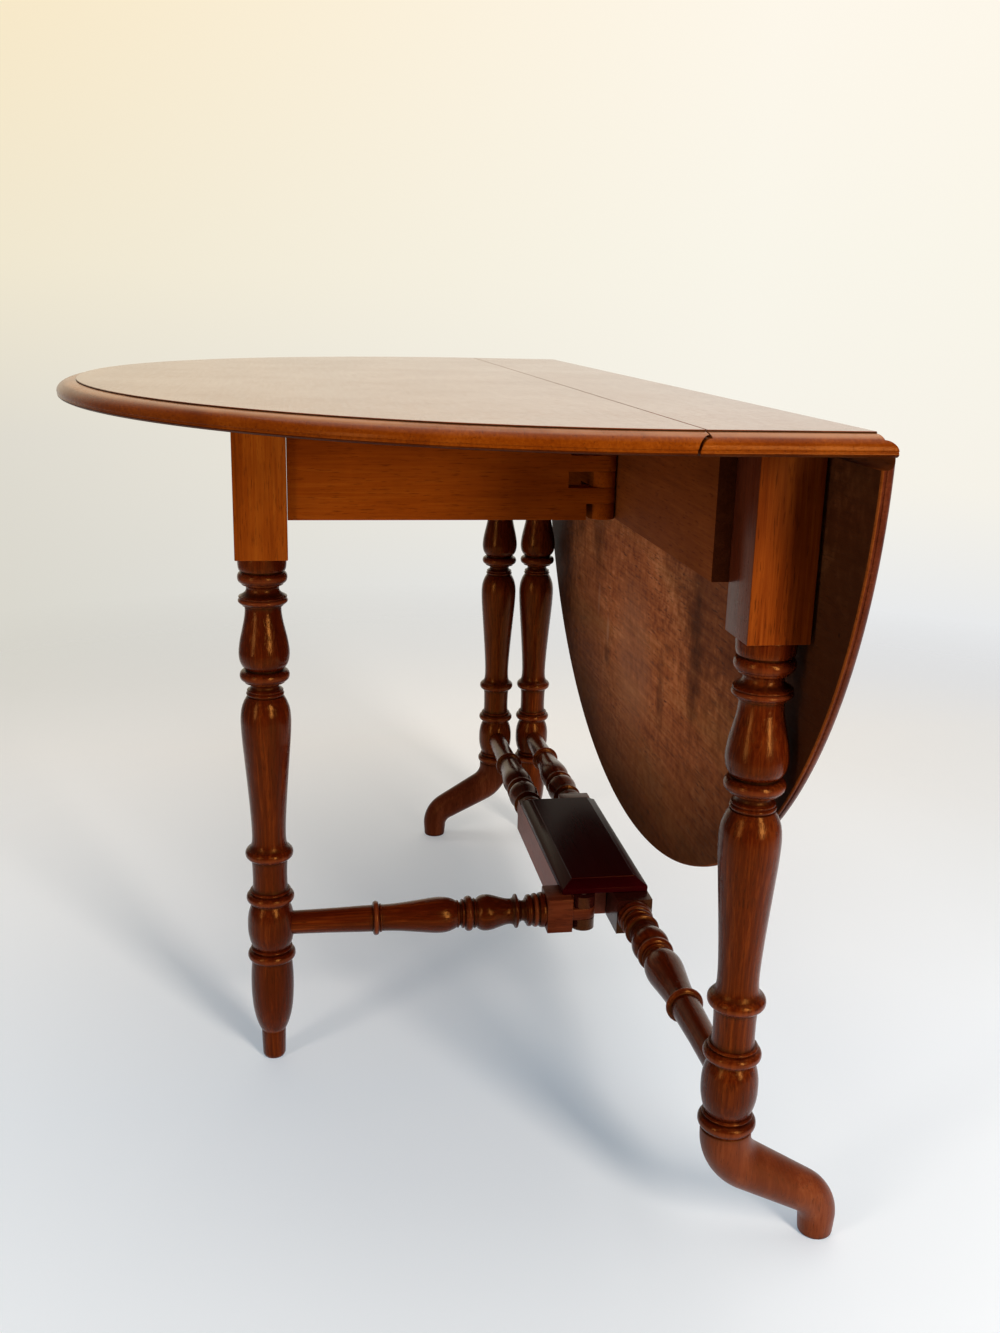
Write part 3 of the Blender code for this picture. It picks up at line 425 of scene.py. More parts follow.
def carve(bm, cutter, operation="DIFFERENCE"):
    pair = []
    for part in (bm, cutter):
        bmesh.ops.recalc_face_normals(part, faces=part.faces)
        rough = bpy.data.meshes.new("rough")
        part.to_mesh(rough)
        part.free()
        pair.append(newObject("rough", rough))
    step = pair[0].modifiers.new("carve", "BOOLEAN")
    step.operation = operation
    step.object = pair[1]
    bpy.context.view_layer.update()
    result = bmesh.new()
    result.from_mesh(pair[0].evaluated_get(bpy.context.evaluated_depsgraph_get()).to_mesh())
    for thing in pair:
        bpy.data.objects.remove(thing, do_unlink=True)
    bmesh.ops.remove_doubles(result, verts=result.verts, dist=2 * table["weld"])
    return result


def gather(parts):
    bm = bmesh.new()
    for part in parts:
        rough = bpy.data.meshes.new("rough")
        part.to_mesh(rough)
        part.free()
        bm.from_mesh(rough)
        bpy.data.meshes.remove(rough)
    return bm


def arc(x, y, radius, start, end, steps):
    turns = [math.radians(start + (end - start) * k / steps) for k in range(steps + 1)]
    return [(x + radius * math.cos(a), y + radius * math.sin(a)) for a in turns]


def rodAlong(bm, radius, start, end, sides=24, ease=0.0):
    start, end = Vector(start), Vector(end)
    along = end - start
    made = bmesh.ops.create_cone(bm, cap_ends=True, segments=sides, radius1=radius, radius2=radius,
                                 depth=along.length)["verts"]
    if ease:
        rims = {edge for vert in made for edge in vert.link_edges if edge.calc_face_angle() > 1.2}
        made = bmesh.ops.bevel(bm, geom=list(rims), offset=ease, affect="EDGES", segments=2, profile=0.5,
                               material=-1)["verts"] + [vert for vert in made if vert.is_valid]
    turn = along.to_track_quat("Z", "Y").to_matrix().to_4x4()
    bmesh.ops.transform(bm, matrix=Matrix.Translation((start + end) / 2) @ turn, verts=list(set(made)))


def finishMesh(bm, name, smooth=38):
    bmesh.ops.remove_doubles(bm, verts=bm.verts, dist=table["weld"])
    bmesh.ops.recalc_face_normals(bm, faces=bm.faces)
    mesh = bpy.data.meshes.new(name)
    bm.to_mesh(mesh)
    bm.free()
    mesh.shade_smooth()
    mesh.set_sharp_from_angle(angle=math.radians(smooth))
    return mesh


def addPiece(node, mesh, body, materials, place=None):
    mesh = mesh.copy()
    if place is not None:
        mesh.transform(place)
    for finish in materials:
        mesh.materials.append(finishes[finish])
    piece = newObject(node + "_look", mesh)
    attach(piece, body)
    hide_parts(node)


def addFixedPair(nodes, mesh, materials, place=Matrix.Identity(4)):
    # both on the fixed frame, the second after half a turn
    for node, turn in zip(nodes, (Matrix.Identity(4), turnAround)):
        addPiece(node, mesh, "fixed_frame", materials, turn @ place)


def addGatePair(name, mesh, slot, foldedLooks, openLooks, place=Matrix.Identity(4)):
    # one on the folded right gate, one on the open left gate
    addPiece("right_" + name, mesh, "right_gate", foldedLooks, place)
    addPiece("left_" + name, mesh, "left_gate", openLooks, gateOpened @ place)


# Turned profiles: rows of a shape and its (distance, radius) points in millimetres, or a bead's sizes

def beadPoints(middle, half, neck, crest, steps=9):
    turns = [math.pi * k / steps for k in range(steps + 1)]
    return [(middle - half * math.cos(a), neck + (crest - neck) * math.sin(a) ** 0.8) for a in turns]


def curvePoints(*points, steps=5):
    # smooth line through the points, ends repeated
    ends = [points[0], *points, points[-1]]
    made = []
    for a, b, c, d in zip(ends, ends[1:], ends[2:], ends[3:]):
        for k in range(steps):
            t = k / steps
            made.append(tuple(0.5 * (2 * q + (r - p) * t + (2 * p - 5 * q + 4 * r - s) * t * t
                                     + (3 * q - p - 3 * r + s) * t ** 3) for p, q, r, s in zip(a, b, c, d)))
    return made + [points[-1]]


profileShapes = {"line": lambda *points: points, "bead": beadPoints, "curve": curvePoints}


def profilePoints(rows):
    return [point for shape, *sizes in rows for point in profileShapes[shape](*sizes)]


def hollows(points, reach=5.0, deep=2.2):
    # how far each point lies below the turning round it, for the darkening of the hollows
    made = []
    for place, radius in points:
        near = [(other, weight) for there, other in points
                if (weight := 1 - abs(there - place) / reach) > 0]
        level = sum(other * weight for other, weight in near) / sum(weight for _, weight in near)
        made.append(min(1.0, max(0.0, (level - radius) / deep)))
    return made


def lathe(points, steps, rubbedAndHighlight=(), rubReach=2.5):
    # turns (distance, radius) rows about Z, distances running down; returns a bmesh in metres
    bm = bmesh.new()
    grime = bm.verts.layers.float.new("grime")
    wear = bm.verts.layers.float.new("wear")
    column = []
    for (place, radius), hollow in zip(points, hollows(points)):
        vert = bm.verts.new((radius / 1000, 0, -place / 1000))
        vert[grime] = hollow
        vert[wear] = max([0.0] + [1 - abs(place - spot) / rubReach for spot in rubbedAndHighlight])
        column.append(vert)
    edges = [bm.edges.new(pair) for pair in zip(column, column[1:])]
    bmesh.ops.spin(bm, geom=column + edges, cent=(0, 0, 0), axis=(0, 0, 1), dvec=(0, 0, 0),
                   angle=2 * math.pi, steps=steps, use_merge=True, use_duplicate=False)
    bmesh.ops.remove_doubles(bm, verts=bm.verts, dist=table["weld"])
    return bm


legSettings = {
    "turning": [
        ("line", (-6, 0), (-6, 23.4), (0, 23.8)),
        ("curve", (0.3, 24.0), (4, 24.0), (10, 23.6), (12.9, 22.8)),
        ("line", (13.1, 20.6), (14.8, 20.4)),
        ("bead", 20.4, 5.3, 20.8, 24.5),
        ("line", (25.9, 20.6), (27.5, 20.4)),
        ("curve", (27.7, 18.2), (29.8, 16.6), (32.2, 16.2), (34.8, 17.2), (37.2, 19.6), (39.0, 22.6)),
        ("curve", (39.2, 23.5), (39.9, 23.9), (40.7, 23.5)),
        ("line", (40.9, 22.5), (41.4, 22.4)),
        ("curve", (41.6, 23.3), (43.2, 24.4), (45.0, 24.2), (46.6, 22.6)),
        ("line", (46.8, 20.8), (48.8, 20.2)),
        ("curve", (49.1, 18.2), (54, 18.0), (62, 18.9), (72, 21.0), (84, 23.7), (94, 25.1), (100, 25.2),
         (106, 24.2), (110.3, 22.2), (113.0, 19.8)),
        ("line", (113.3, 18.5), (115, 18.4)),
        ("bead", 120.6, 5.4, 20.0, 24.9),
        ("line", (126.2, 20.4), (127.7, 20.2)),
        ("curve", (127.9, 17.6), (129.8, 14.9), (132.0, 14.0), (134.0, 14.8), (135.2, 16.4)),
        ("curve", (135.4, 17.6), (136.2, 18.2), (137.2, 17.8)),
        ("line", (137.4, 17.2), (137.9, 17.2)),
        ("curve", (138.1, 18.0), (139.4, 19.0), (140.8, 18.6)),
        ("line", (141.1, 17.2), (142.3, 17.0)),
        ("curve", (142.7, 18.5), (148, 21.5), (156, 24.2), (165, 25.3), (174, 25.3), (188, 24.6), (208, 23.0),
         (230, 21.2), (252, 19.5), (270, 18.3), (284, 17.6), (296, 17.5), (303, 18.2), (306.6, 19.7),
         (308.6, 21.6)),
        ("curve", (308.9, 22.6), (311, 24.2), (314.0, 24.7), (317, 23.9), (319.4, 21.6)),
        ("line", (319.6, 19.6), (321.4, 19.4)),
        ("curve", (321.7, 18.6), (330, 18.1), (342, 17.9), (351, 18.1), (354.9, 18.6)),
        ("curve", (355.1, 20.2), (356.4, 21.4), (357.7, 20.8)),
        ("line", (358.0, 19.6), (358.7, 19.6)),
        ("bead", 363.8, 4.9, 20.2, 24.9),
        ("line", (368.9, 20.4), (370.4, 20.0)),
        ("curve", (370.7, 19.0), (374, 20.6), (380, 22.7), (388, 24.1), (396.2, 24.4), (404, 24.1),
         (412, 22.7), (417.6, 20.9), (420.6, 19.6)),
        ("curve", (420.8, 20.6), (422.3, 21.9), (423.8, 21.2)),
        ("line", (424.1, 19.8), (425.0, 19.8)),
        ("bead", 430.4, 5.2, 20.4, 25.1),
        ("line", (435.8, 21.0), (437.2, 21.0)),
    ],
    "fixedEnd": [("line", (437.4, 21.4), (437.4, 0))],
    "gateEnd": [
        ("curve", (437.5, 21.0), (443, 21.6), (452, 22.2), (464, 22.5), (476, 22.3), (490, 21.3), (502, 19.4),
         (511, 17.0), (516.6, 14.9), (519.2, 13.6)),
        ("line", (519.6, 12.9), (520.4, 12.6)),
        ("curve", (521.5, 12.9), (532, 12.7), (548, 12.2), (550.6, 11.8), (552.6, 10.9), (553.5, 9.4)),
        ("line", (553.7, 8.6), (553.7, 0)),
    ],
    "rubs": (20.6, 43, 120.6, 314.7, 363.7, 430.4), "toeRubs": (519.2,),
    "sides": 72, "ease": 0.0009, "rounds": 3,
}


def legMesh(end, rubs, name):
    turning = lathe(profilePoints(legSettings["turning"] + end), legSettings["sides"], rubs)
    bmesh.ops.translate(turning, vec=(0, 0, table["blockBottom"]), verts=turning.verts)
    for face in turning.faces:
        face.material_index = 1
    half = table["blockHalf"]
    head = block((-half, -half, table["blockBottom"]), (half, half, table["frameTop"]),
                 legSettings["ease"], legSettings["rounds"])
    # the head's sides take the third finish: on the fixed legs a darker one, as painted shade
    for face in head.faces:
        face.material_index = 2 if abs(face.normal.x) > table["facing"] else 0
    return finishMesh(gather([head, turning]), name)


fixedLeg = legMesh(legSettings["fixedEnd"], legSettings["rubs"], "fixed_leg")
gateLeg = legMesh(legSettings["gateEnd"], legSettings["rubs"] + legSettings["toeRubs"], "gate_leg")
frontLegPlace = Matrix.Translation((table["legX"], -table["legY"], 0))
gateLegPlace = Matrix.Translation((table["legX"], table["legY"], 0))
# the fixed legs' blocks are painted darker than the gate legs' as shade, and their sides darker still
endLooks = [("endBlock", "z"), ("turning", "z"), ("joint", "z")]
gateLooks = [("block", "z"), ("turning", "z"), ("block", "z")]
addFixedPair(("front_leg", "back_leg"), fixedLeg, endLooks, frontLegPlace)
addGatePair("gate_leg", gateLeg, "leg_wood", gateLooks, gateLooks, gateLegPlace)
print("legs made")


footSettings = {
    "reach": 0.092, "upperBend": 0.040, "lowerBend": 0.032, "lead": 0.0050, "toeLength": 0.017,
    "radius": 0.0222, "swell": 0.0008, "toe": 0.0152, "flat": 0.97, "sides": 48, "steps": 16,
    # eased ends: depth below the top or height above the floor, and share of the radius
    "neck": ((0.0, 0.965), (0.0008, 1.0)),
    "sole": ((0.0030, 1.0), (0.0014, 0.985), (0.0005, 0.945), (0.0, 0.86)),
    "darkening": 0.8, "darkLow": 0.004, "darkHigh": 0.0012,
}


def footMesh():
    upper, lower, reach, lead, toe, steps = (
        footSettings[key] for key in ("upperBend", "lowerBend", "reach", "lead", "toeLength", "steps"))
    top, slim = table["footTop"], footSettings["radius"] - footSettings["toe"]
    fall, spare = top - lead - toe, upper + lower - reach
    bend = math.degrees(math.asin((upper + lower) / math.hypot(spare, fall)) - math.atan2(spare, fall))
    # stations: x, z, lean of the section and share of its radius
    path = [(0, top - depth, 0, share) for depth, share in footSettings["neck"]]
    path += [(x, z, bend * k / steps, 1) for k, (x, z) in
             enumerate(arc(upper, top - lead, upper, 180, 180 + bend, steps))]
    path += [(x, z, bend * (1 - k / steps), 1) for k, (x, z) in
             enumerate(arc(reach - lower, toe, lower, bend, 0, steps))]
    path += [(reach, toe * 0.6, 0, 1), (reach, toe * 0.3, 0, 1)]
    path += [(reach, z, 0, share) for z, share in footSettings["sole"]]
    travel = [0.0]
    for (x0, z0, *_), (x1, z1, *_) in zip(path, path[1:]):
        travel.append(travel[-1] + math.hypot(x1 - x0, z1 - z0))
    sections = []
    for (x, z, lean, share), gone in zip(path, travel):
        gone /= travel[-1]
        swell = footSettings["swell"] * math.sin(math.pi * gone)
        radius = share * (footSettings["radius"] + swell - slim * gone ** 1.5)
        sections.append(Matrix.Translation((x, 0, z)) @ Matrix.Rotation(math.radians(-lean), 4, "Y")
                        @ Matrix.Diagonal((radius, radius * footSettings["flat"], 1, 1)))
    bm = sweep(sections, footSettings["sides"])
    grime = bm.verts.layers.float.new("grime")
    # darker within a few millimetres of the floor and of the leg above
    for vert in bm.verts:
        low, high = vert.co.z / footSettings["darkLow"], (top - vert.co.z) / footSettings["darkHigh"]
        vert[grime] = max(0.0, 1 - low, 1 - high) * footSettings["darkening"]
    return finishMesh(bm, "scrolled_foot")


foot = footMesh()
addPiece("front_foot", foot, "fixed_frame", [("foot", "z")], frontLegPlace)
# the back foot is painted darker than the front one, as shade
addPiece("back_foot", foot, "fixed_frame", [("joint", "z")], turnAround @ frontLegPlace)
print("scrolled feet made")


stretcherSettings = {
    "turning": [
        ("line", (-6, 0), (-6, 18.2), (0, 18.4)),
        ("curve", (0.2, 18.7), (2.2, 19.2), (4.6, 19.1), (6.8, 18.3)),
        ("line", (7.1, 16.2), (8.3, 16.0)),
        ("bead", 11.2, 2.8, 16.0, 18.4),
        ("line", (14.1, 15.6), (15.0, 15.4)),
        ("bead", 18.0, 2.8, 15.2, 17.4),
        ("line", (20.9, 14.4), (21.9, 14.0)),
        ("curve", (22.1, 12.6), (24.0, 11.3), (26.4, 11.2), (28.6, 12.6), (30.2, 15.2), (31.2, 17.6)),
        ("curve", (31.4, 18.3), (32.6, 18.6), (33.8, 18.1)),
        ("curve", (34.1, 16.9), (35.8, 14.7), (39, 13.8), (45, 14.6), (53, 17.0), (60, 19.0), (66, 19.6),
         (71, 18.8), (75.2, 16.4)),
        ("curve", (75.5, 15.4), (76.6, 15.0), (77.2, 15.6), (78.2, 16.4), (79.3, 15.8)),
        ("line", (79.6, 14.6), (80.3, 14.6)),
        ("bead", 84.7, 4.2, 15.2, 19.0),
        ("line", (89.0, 14.2), (89.7, 14.2)),
        ("bead", 91.2, 1.3, 14.2, 15.8),
        ("curve", (92.7, 13.4), (94.0, 12.5), (95.2, 13.2)),
        ("bead", 96.6, 1.2, 13.4, 15.0),
        ("curve", (98.0, 14.6), (102, 16.6), (108, 18.5), (116, 19.3), (125, 18.9), (140, 17.2), (158, 15.2),
         (172, 14.3), (178.8, 14.2)),
        ("bead", 180.3, 1.2, 14.2, 15.4),
        ("line", (181.7, 14.2)),
        ("bead", 185.2, 3.3, 14.6, 18.4),
        ("line", (188.7, 14.2)),
        ("curve", (189.0, 14.2), (198, 14.1), (215, 13.6), (240, 12.9)),
    ],
    "endRadius": 12.5, "endShare": 0.94, "rubs": (11.2, 84.7, 185.2), "sides": 48,
    "half": 0.0195, "ease": 0.0009, "hubEnd": 0.150, "gateEnd": 0.042, "ball": 0.0244, "socket": 0.014,
    "clear": 0.001, "nose": 0.013, "root": 0.004,
}
barLow, barHigh = (table["ballHeight"] + way * stretcherSettings["half"] for way in (-1, 1))
noseSettings = {"share": 0.9995, "rounds": 14, "weld": 0.00002}


def nosed(x, y, radius, outward, root, low, high):
    # bar with a round nose about (x, y), reaching to root
    bm = bmesh.new()
    ends = sorted((y - outward * radius, root))
    made = bmesh.ops.create_cube(bm, size=1.0)["verts"]
    bmesh.ops.scale(bm, vec=(2 * radius, ends[1] - ends[0], high - low), verts=made)
    bmesh.ops.translate(bm, vec=(x, sum(ends) / 2, (low + high) / 2), verts=made)
    tip = [edge for edge in bm.edges if all((vert.co.y - y) * outward < 0 for vert in edge.verts)
           and abs(edge.verts[0].co.z - edge.verts[1].co.z) > table["near"]]
    soften(bm, tip, radius * noseSettings["share"], noseSettings["rounds"])
    bmesh.ops.remove_doubles(bm, verts=bm.verts, dist=noseSettings["weld"])
    return bm


def stretcherMesh(outward, legY, blockEnd, name):
    sizes = stretcherSettings
    half, nose = sizes["half"], sizes["nose"]
    third, hair = (barHigh - barLow) / 3, table["gap"] / 2
    if outward < 0:         # fork of two ears
        shoulder = half + table["legX"] - table["gateX"]
        levels = [(barLow, barLow + third - hair), (barHigh - third + hair, barHigh)]
    else:                   # tongue between them
        shoulder = nose
        levels = [(barLow + third + hair, barHigh - third - hair)]
    shoulder = table["gateY"] + outward * (shoulder + sizes["clear"])
    ends = sorted((shoulder, blockEnd))
    solid = block((table["legX"] - half, ends[0], barLow), (table["legX"] + half, ends[1], barHigh))
    root = shoulder + outward * sizes["root"]
    for bottom, top in levels:
        ear = nosed(table["gateX"], table["gateY"], nose, outward, root, bottom, top)
        solid = carve(solid, ear, "UNION")
    easeSharp(solid, sizes["ease"])
    # 1 the block, 2 its side facing +x: on a fixed stretcher the block is painted dark as shade under the
    # lid, the side paler as a painted reflection
    for face in solid.faces:
        face.material_index = 2 if face.normal.x > table["facing"] else 1
    length, radius = 1000 * (abs(legY - blockEnd) - sizes["ball"] + sizes["socket"]), sizes["endRadius"]
    end = [("line", (length * sizes["endShare"], radius), (length, radius), (length, 0))]
    shaft = lathe(profilePoints(sizes["turning"] + end), sizes["sides"], sizes["rubs"])
    aim = Matrix.Rotation(math.radians(90 * outward), 4, "X")
    there = Matrix.Translation((table["legX"], blockEnd, table["ballHeight"]))
    bmesh.ops.transform(shaft, matrix=there @ aim, verts=shaft.verts)
    return finishMesh(gather([solid, shaft]), name)


fixedStretcher = stretcherMesh(-1, -table["legY"], -stretcherSettings["hubEnd"], "fixed_stretcher")
gateStretcher = stretcherMesh(1, table["legY"], table["gateY"] + stretcherSettings["gateEnd"],
                              "gate_stretcher")
# the hub's blocks are painted dark as shade under the lid; their outer sides pinker and paler as a painted
# reflection of the pale floor
hubLooks = [("turning", "y"), ("hub", "y"), ("spacer", "y")]
addFixedPair(("front_stretcher", "back_stretcher"), fixedStretcher, hubLooks)
# the gate stretcher's block is painted dark as shade under the hub
addGatePair("gate_stretcher", gateStretcher, "leg_wood",
            *([("turning", axis), ("joint", axis), ("joint", axis)] for axis in "yx"))
print("stretchers made")


railSettings = {
    "radius": 0.013, "fingers": 7, "ease": 0.0005, "cutter": 0.03, "sideways": 0.85,
    # slot depths from the axis, bottom to top: hand-sawn, so no two alike
    "flySlots": {0: 0.0185, 2: 0.0375, 4: 0.0355, 6: 0.0390},
    "fixedSlots": {1: 0.0400, 3: 0.0375, 5: 0.0405},
}


def railMesh(outward, slots, name):
    x, y, low, high = table["gateX"], table["gateY"], table["railBottom"], table["frameTop"]
    root = outward * (table["legY"] - table["blockHalf"] - table["gap"])
    solid = nosed(x, y, railSettings["radius"], outward, root, low, high)
    finger, hair, cutter = (high - low) / railSettings["fingers"], table["gap"] / 2, railSettings["cutter"]
    cutters = []
    for k, depth in slots.items():
        bottom = low + k * finger - hair if k else low - table["past"]
        top = low + (k + 1) * finger + hair if k + 1 < railSettings["fingers"] else high + table["past"]
        ends = sorted((y + outward * depth, y - outward * cutter))
        cutters.append(block((x - cutter, ends[0], bottom), (x + cutter, ends[1], top)))
    solid = carve(solid, gather(cutters))
    solid.normal_update()
    for face in solid.faces:        # slot ends are painted dark as the shade inside the slots, and the sides of a fixed rail dull and a shade darker, as painted shade
        if abs(face.normal.y) > table["facing"] and (face.calc_center_median().y - y) * outward > 0:
            face.material_index = 1
        elif outward < 0 and abs(face.normal.x) > railSettings["sideways"]:
            face.material_index = 2
        else:
            face.material_index = 0
    return finishMesh(easeSharp(solid, railSettings["ease"]), name)


fixedRail = railMesh(-1, railSettings["fixedSlots"], "fixed_rail")
flyRail = railMesh(1, railSettings["flySlots"], "fly_rail")
# a rail's slot ends are painted dark as shade in the slots, a fixed rail's sides a shade darker as painted
# shade
railLooks = [("rail", "y"), ("inside", "y"), ("dull", "y")]
addFixedPair(("right_fixed_rail", "left_fixed_rail"), fixedRail, railLooks)
addGatePair("fly_rail", flyRail, "rail_wood", railLooks, [("rail", "x"), ("inside", "x")])

coreSettings = {"half": 0.0107, "clear": 0.001, "screws": 4, "spacing": 0.24, "well": 0.0050, "grip": 0.024}


def coreMesh():
    half, end = coreSettings["half"], table["legY"] - table["blockHalf"] - coreSettings["clear"]
    solid = block((-half, -end, table["railBottom"]), (half, end, table["frameTop"]), table["ease"])
    wells = bmesh.new()
    for k in range(coreSettings["screws"]):
        y = coreSettings["spacing"] * (k - (coreSettings["screws"] - 1) / 2)
        rodAlong(wells, coreSettings["well"], (0, y, table["railBottom"] - table["past"]),
                 (0, y, table["frameTop"] - coreSettings["grip"]))
    solid = carve(solid, wells)
    for face in solid.faces:        # end grain drinks more stain, and is painted darker still as shade
        face.material_index = int(abs(face.normal.y) > table["facing"])
    return finishMesh(solid, "core_rail")


addPiece("core_rail", coreMesh(), "fixed_frame", [("core", "y"), ("endGrain", "y")])
print("rails made")


hubSettings = {
    "spacerHalf": 0.0087, "spacerLength": 0.1016, "lidHalfWidth": 0.048, "lidHalfLength": 0.1296,
    "lidEdge": 0.006, "lidThickness": 0.014, "field": 0.012, "step": 0.0011, "stepIn": 0.0005,
    "rimEase": 0.0008, "fieldEase": 0.0002,
}


def spacerMesh():
    half, long = hubSettings["spacerHalf"], hubSettings["spacerLength"]
    return finishMesh(block((-half, -long, barLow), (half, long, barHigh), table["ease"]), "hub_spacer")


def lidMesh():
    low = barHigh + table["gap"]
    wide, long = hubSettings["lidHalfWidth"], hubSettings["lidHalfLength"]
    bm = block((-wide, -long, low), (wide, long, low + hubSettings["lidEdge"]))
    upper = [face for face in bm.faces if face.normal.z > 0.5]
    rise = hubSettings["lidThickness"] - hubSettings["lidEdge"] - hubSettings["step"]
    for inset, lift in ((hubSettings["field"], rise), (hubSettings["stepIn"], hubSettings["step"])):
        bmesh.ops.inset_region(bm, faces=upper, thickness=inset, use_even_offset=True)
        bmesh.ops.translate(bm, vec=(0, 0, lift), verts=list(upper[0].verts))
    rimVerts = {vert for vert in bm.verts
                if abs(vert.co.x) > wide - table["near"] or abs(vert.co.y) > long - table["near"]}
    rims = [edge for edge in bm.edges if rimVerts.issuperset(edge.verts)]
    soften(bm, rims, hubSettings["rimEase"], 3)
    easeSharp(bm, hubSettings["fieldEase"], rounds=1, angle=50)
    return finishMesh(bm, "hub_lid", smooth=25)


# the spacer is pinker and paler than the hub's blocks, as a painted reflection of the pale floor over the
# wood's own tone
addPiece("hub_spacer", spacerMesh(), "fixed_frame", [("spacer", "y")])
addPiece("hub_lid", lidMesh(), "fixed_frame", [("lid", "y")])
print("hub made")


hingeSettings = {
    "spacing": 0.36, "count": 3, "half": 0.018, "topPlate": 0.030, "leafPlate": 0.055, "plate": 0.0018,
    "barrel": 0.0024, "barrelEase": 0.0002, "ease": 0.0003,
    "screwHead": 0.0031, "headSides": 20, "headHeights": (-0.00012, 0.0012),
    "slot": 0.0007, "slotHeights": (-0.002, 0.0004), "slotTurn": (0.7, 1.9),
    "topScrews": ((0.011, -0.010), (0.023, 0.000), (0.011, 0.010)),
    "leafScrews": ((0.012, 0.010), (0.026, -0.010), (0.040, 0.010), (0.048, -0.008)),
}
hingePlaces = [hingeSettings["spacing"] * (k - 1) for k in range(hingeSettings["count"])]


def edgeProfile():
    # thumb moulding: outward from the quirk and height, from the top down
    top, quirk = table["topHeight"], topSettings["quirk"]
    points = [(-topSettings["arrisIn"], top), (0.0, top - topSettings["arris"]), (0.0, top - quirk)]
    for k in range(1, topSettings["steps"] + 1):
        turn = math.pi / 2 * k / topSettings["steps"]
        points.append((topSettings["edgeWidth"] * math.sin(turn),
                       top - quirk - topSettings["drop"] * (1 - math.cos(turn))))
    return points + [(out, top - depth) for out, depth in topSettings["nose"]]


def hingeRecess(lowX, highX, groove):
    # stepped cutter: plate beds, and a deeper groove for the barrels where asked for
    floor, roof = underside - table["past"] / 2, underside + hingeSettings["plate"] + table["gap"]
    outline = [(lowX, floor), (lowX, roof)]
    if groove:
        deep = hingeSettings["barrel"] + table["gap"]
        left, right = table["halfWidth"] - deep, table["halfWidth"] + deep
        deepest = table["pinHeight"] + deep
        outline += [(left, roof), (left, deepest), (right, deepest), (right, roof)]
    outline += [(highX, roof), (highX, floor)]
    half = hingeSettings["half"] + table["gap"]
    return gather([prism(outline, "y", y - half, y + half) for y in hingePlaces])


def paintTop(bm):
    # 0 polished face, 1 moulded edge and joint, 2 quirk, dark for its polish and as painted shade in the
    # step, 3 bare underside, 4 below the bead, darker on the level pieces as painted shade
    near = table["near"]
    quirkLow, beadLow = (table["topHeight"] - topSettings[key] for key in ("quirk", "bead"))
    full, none = topSettings["rubbedAndHighlight"]
    bedHigh = underside + 2 * hingeSettings["plate"]
    bm.normal_update()
    wear = bm.verts.layers.float.new("wear")
    for vert in bm.verts:               # painted highlight: the moulding's shoulder is painted lighter, as where it catches the light
        depth = quirkLow - vert.co.z
        vert[wear] = max(0.0, min(1.0, (none - depth) / (none - full))) if depth > -near else 0.0
    for face in bm.faces:
        heights = [vert.co.z for vert in face.verts]
        if face.normal.z > table["facing"] and min(heights) > table["topHeight"] - near:
            face.material_index = 0
        elif face.normal.z < -table["facing"] and face.calc_center_median().z < bedHigh:
            face.material_index = 3
        elif abs(face.normal.z) < 0.3 and min(heights) > quirkLow - near:
            face.material_index = 2
        else:
            face.material_index = 4 if max(heights) < beadLow + near else 1
    return bm


def centreTopMesh():
    wide, top, pin = table["halfWidth"], table["topHeight"], table["pinHeight"]
    radius, arris = topSettings["ruleRadius"], topSettings["arris"]
    lowest = -math.degrees(math.asin((pin - underside) / radius))
    right = [(wide - arris, top), (wide, top - arris)]
    right += arc(wide, pin, radius, 90, lowest, topSettings["jointSteps"])
    section = right + [(-x, z) for x, z in reversed(right)]
    far = topSettings["halfLength"] + topSettings["edgeWidth"]
    ends = [(topSettings["halfLength"] + out, z) for out, z in edgeProfile()]
    solid = carve(prism(section, "y", -2 * far, 2 * far),
                  prism(ends + [(-y, z) for y, z in reversed(ends)], "x", -far, far), "INTERSECT")
    recess = (wide - hingeSettings["topPlate"] - table["gap"], wide + radius + topSettings["jointGap"])
    for turn in (Matrix.Identity(4), turnAround):
        cutter = hingeRecess(*recess, True)
        bmesh.ops.transform(cutter, matrix=turn, verts=cutter.verts)
        solid = carve(solid, cutter)
    return finishMesh(paintTop(solid), "centre_top", topSettings["smooth"])


def leafMesh():
    wide, top, past = table["halfWidth"], table["topHeight"], table["past"]
    reach, halfLength = topSettings["reach"], topSettings["halfLength"]
    bm = sweep([Matrix.Translation((wide, 0, height)) @ Matrix.Diagonal((reach + out, halfLength + out, 1, 1))
                for out, height in edgeProfile()], topSettings["sides"])
    radius, gap = topSettings["ruleRadius"] + topSettings["ruleClear"], topSettings["jointGap"]
    far = wide - reach - 2.5 * past
    lip = math.degrees(math.acos(gap / radius))
    cove = [(far, top + past), (wide + gap, top + past)]
    cove += arc(wide, table["pinHeight"], radius, lip, 0, topSettings["jointSteps"])
    cove += [(wide + radius, underside - past), (far, underside - past)]
    solid = carve(bm, prism(cove, "y", -2 * halfLength, 2 * halfLength))
    bedEnds = (wide + radius - table["thickness"], wide + hingeSettings["leafPlate"] + table["gap"])
    solid = paintTop(carve(solid, hingeRecess(*bedEnds, False)))
    for face in solid.faces:        # 5 cove, dark on the level leaf as painted shade inside the joint
        inJoint = face.calc_center_median().x < wide + radius + 2 * table["near"] and face.normal.x < -0.05
        if inJoint and abs(face.normal.y) < 0.3 and face.normal.z < 0.3:
            face.material_index = 5
    return finishMesh(solid, "leaf", topSettings["smooth"])


# the level pieces: the quirk, the wood below the bead and the cove are painted dark as shade
topLooks = [("top", "y"), ("edge", "y"), ("quirk", "y"), "levelUnderside", ("nose", "y"), ("inside", "y")]
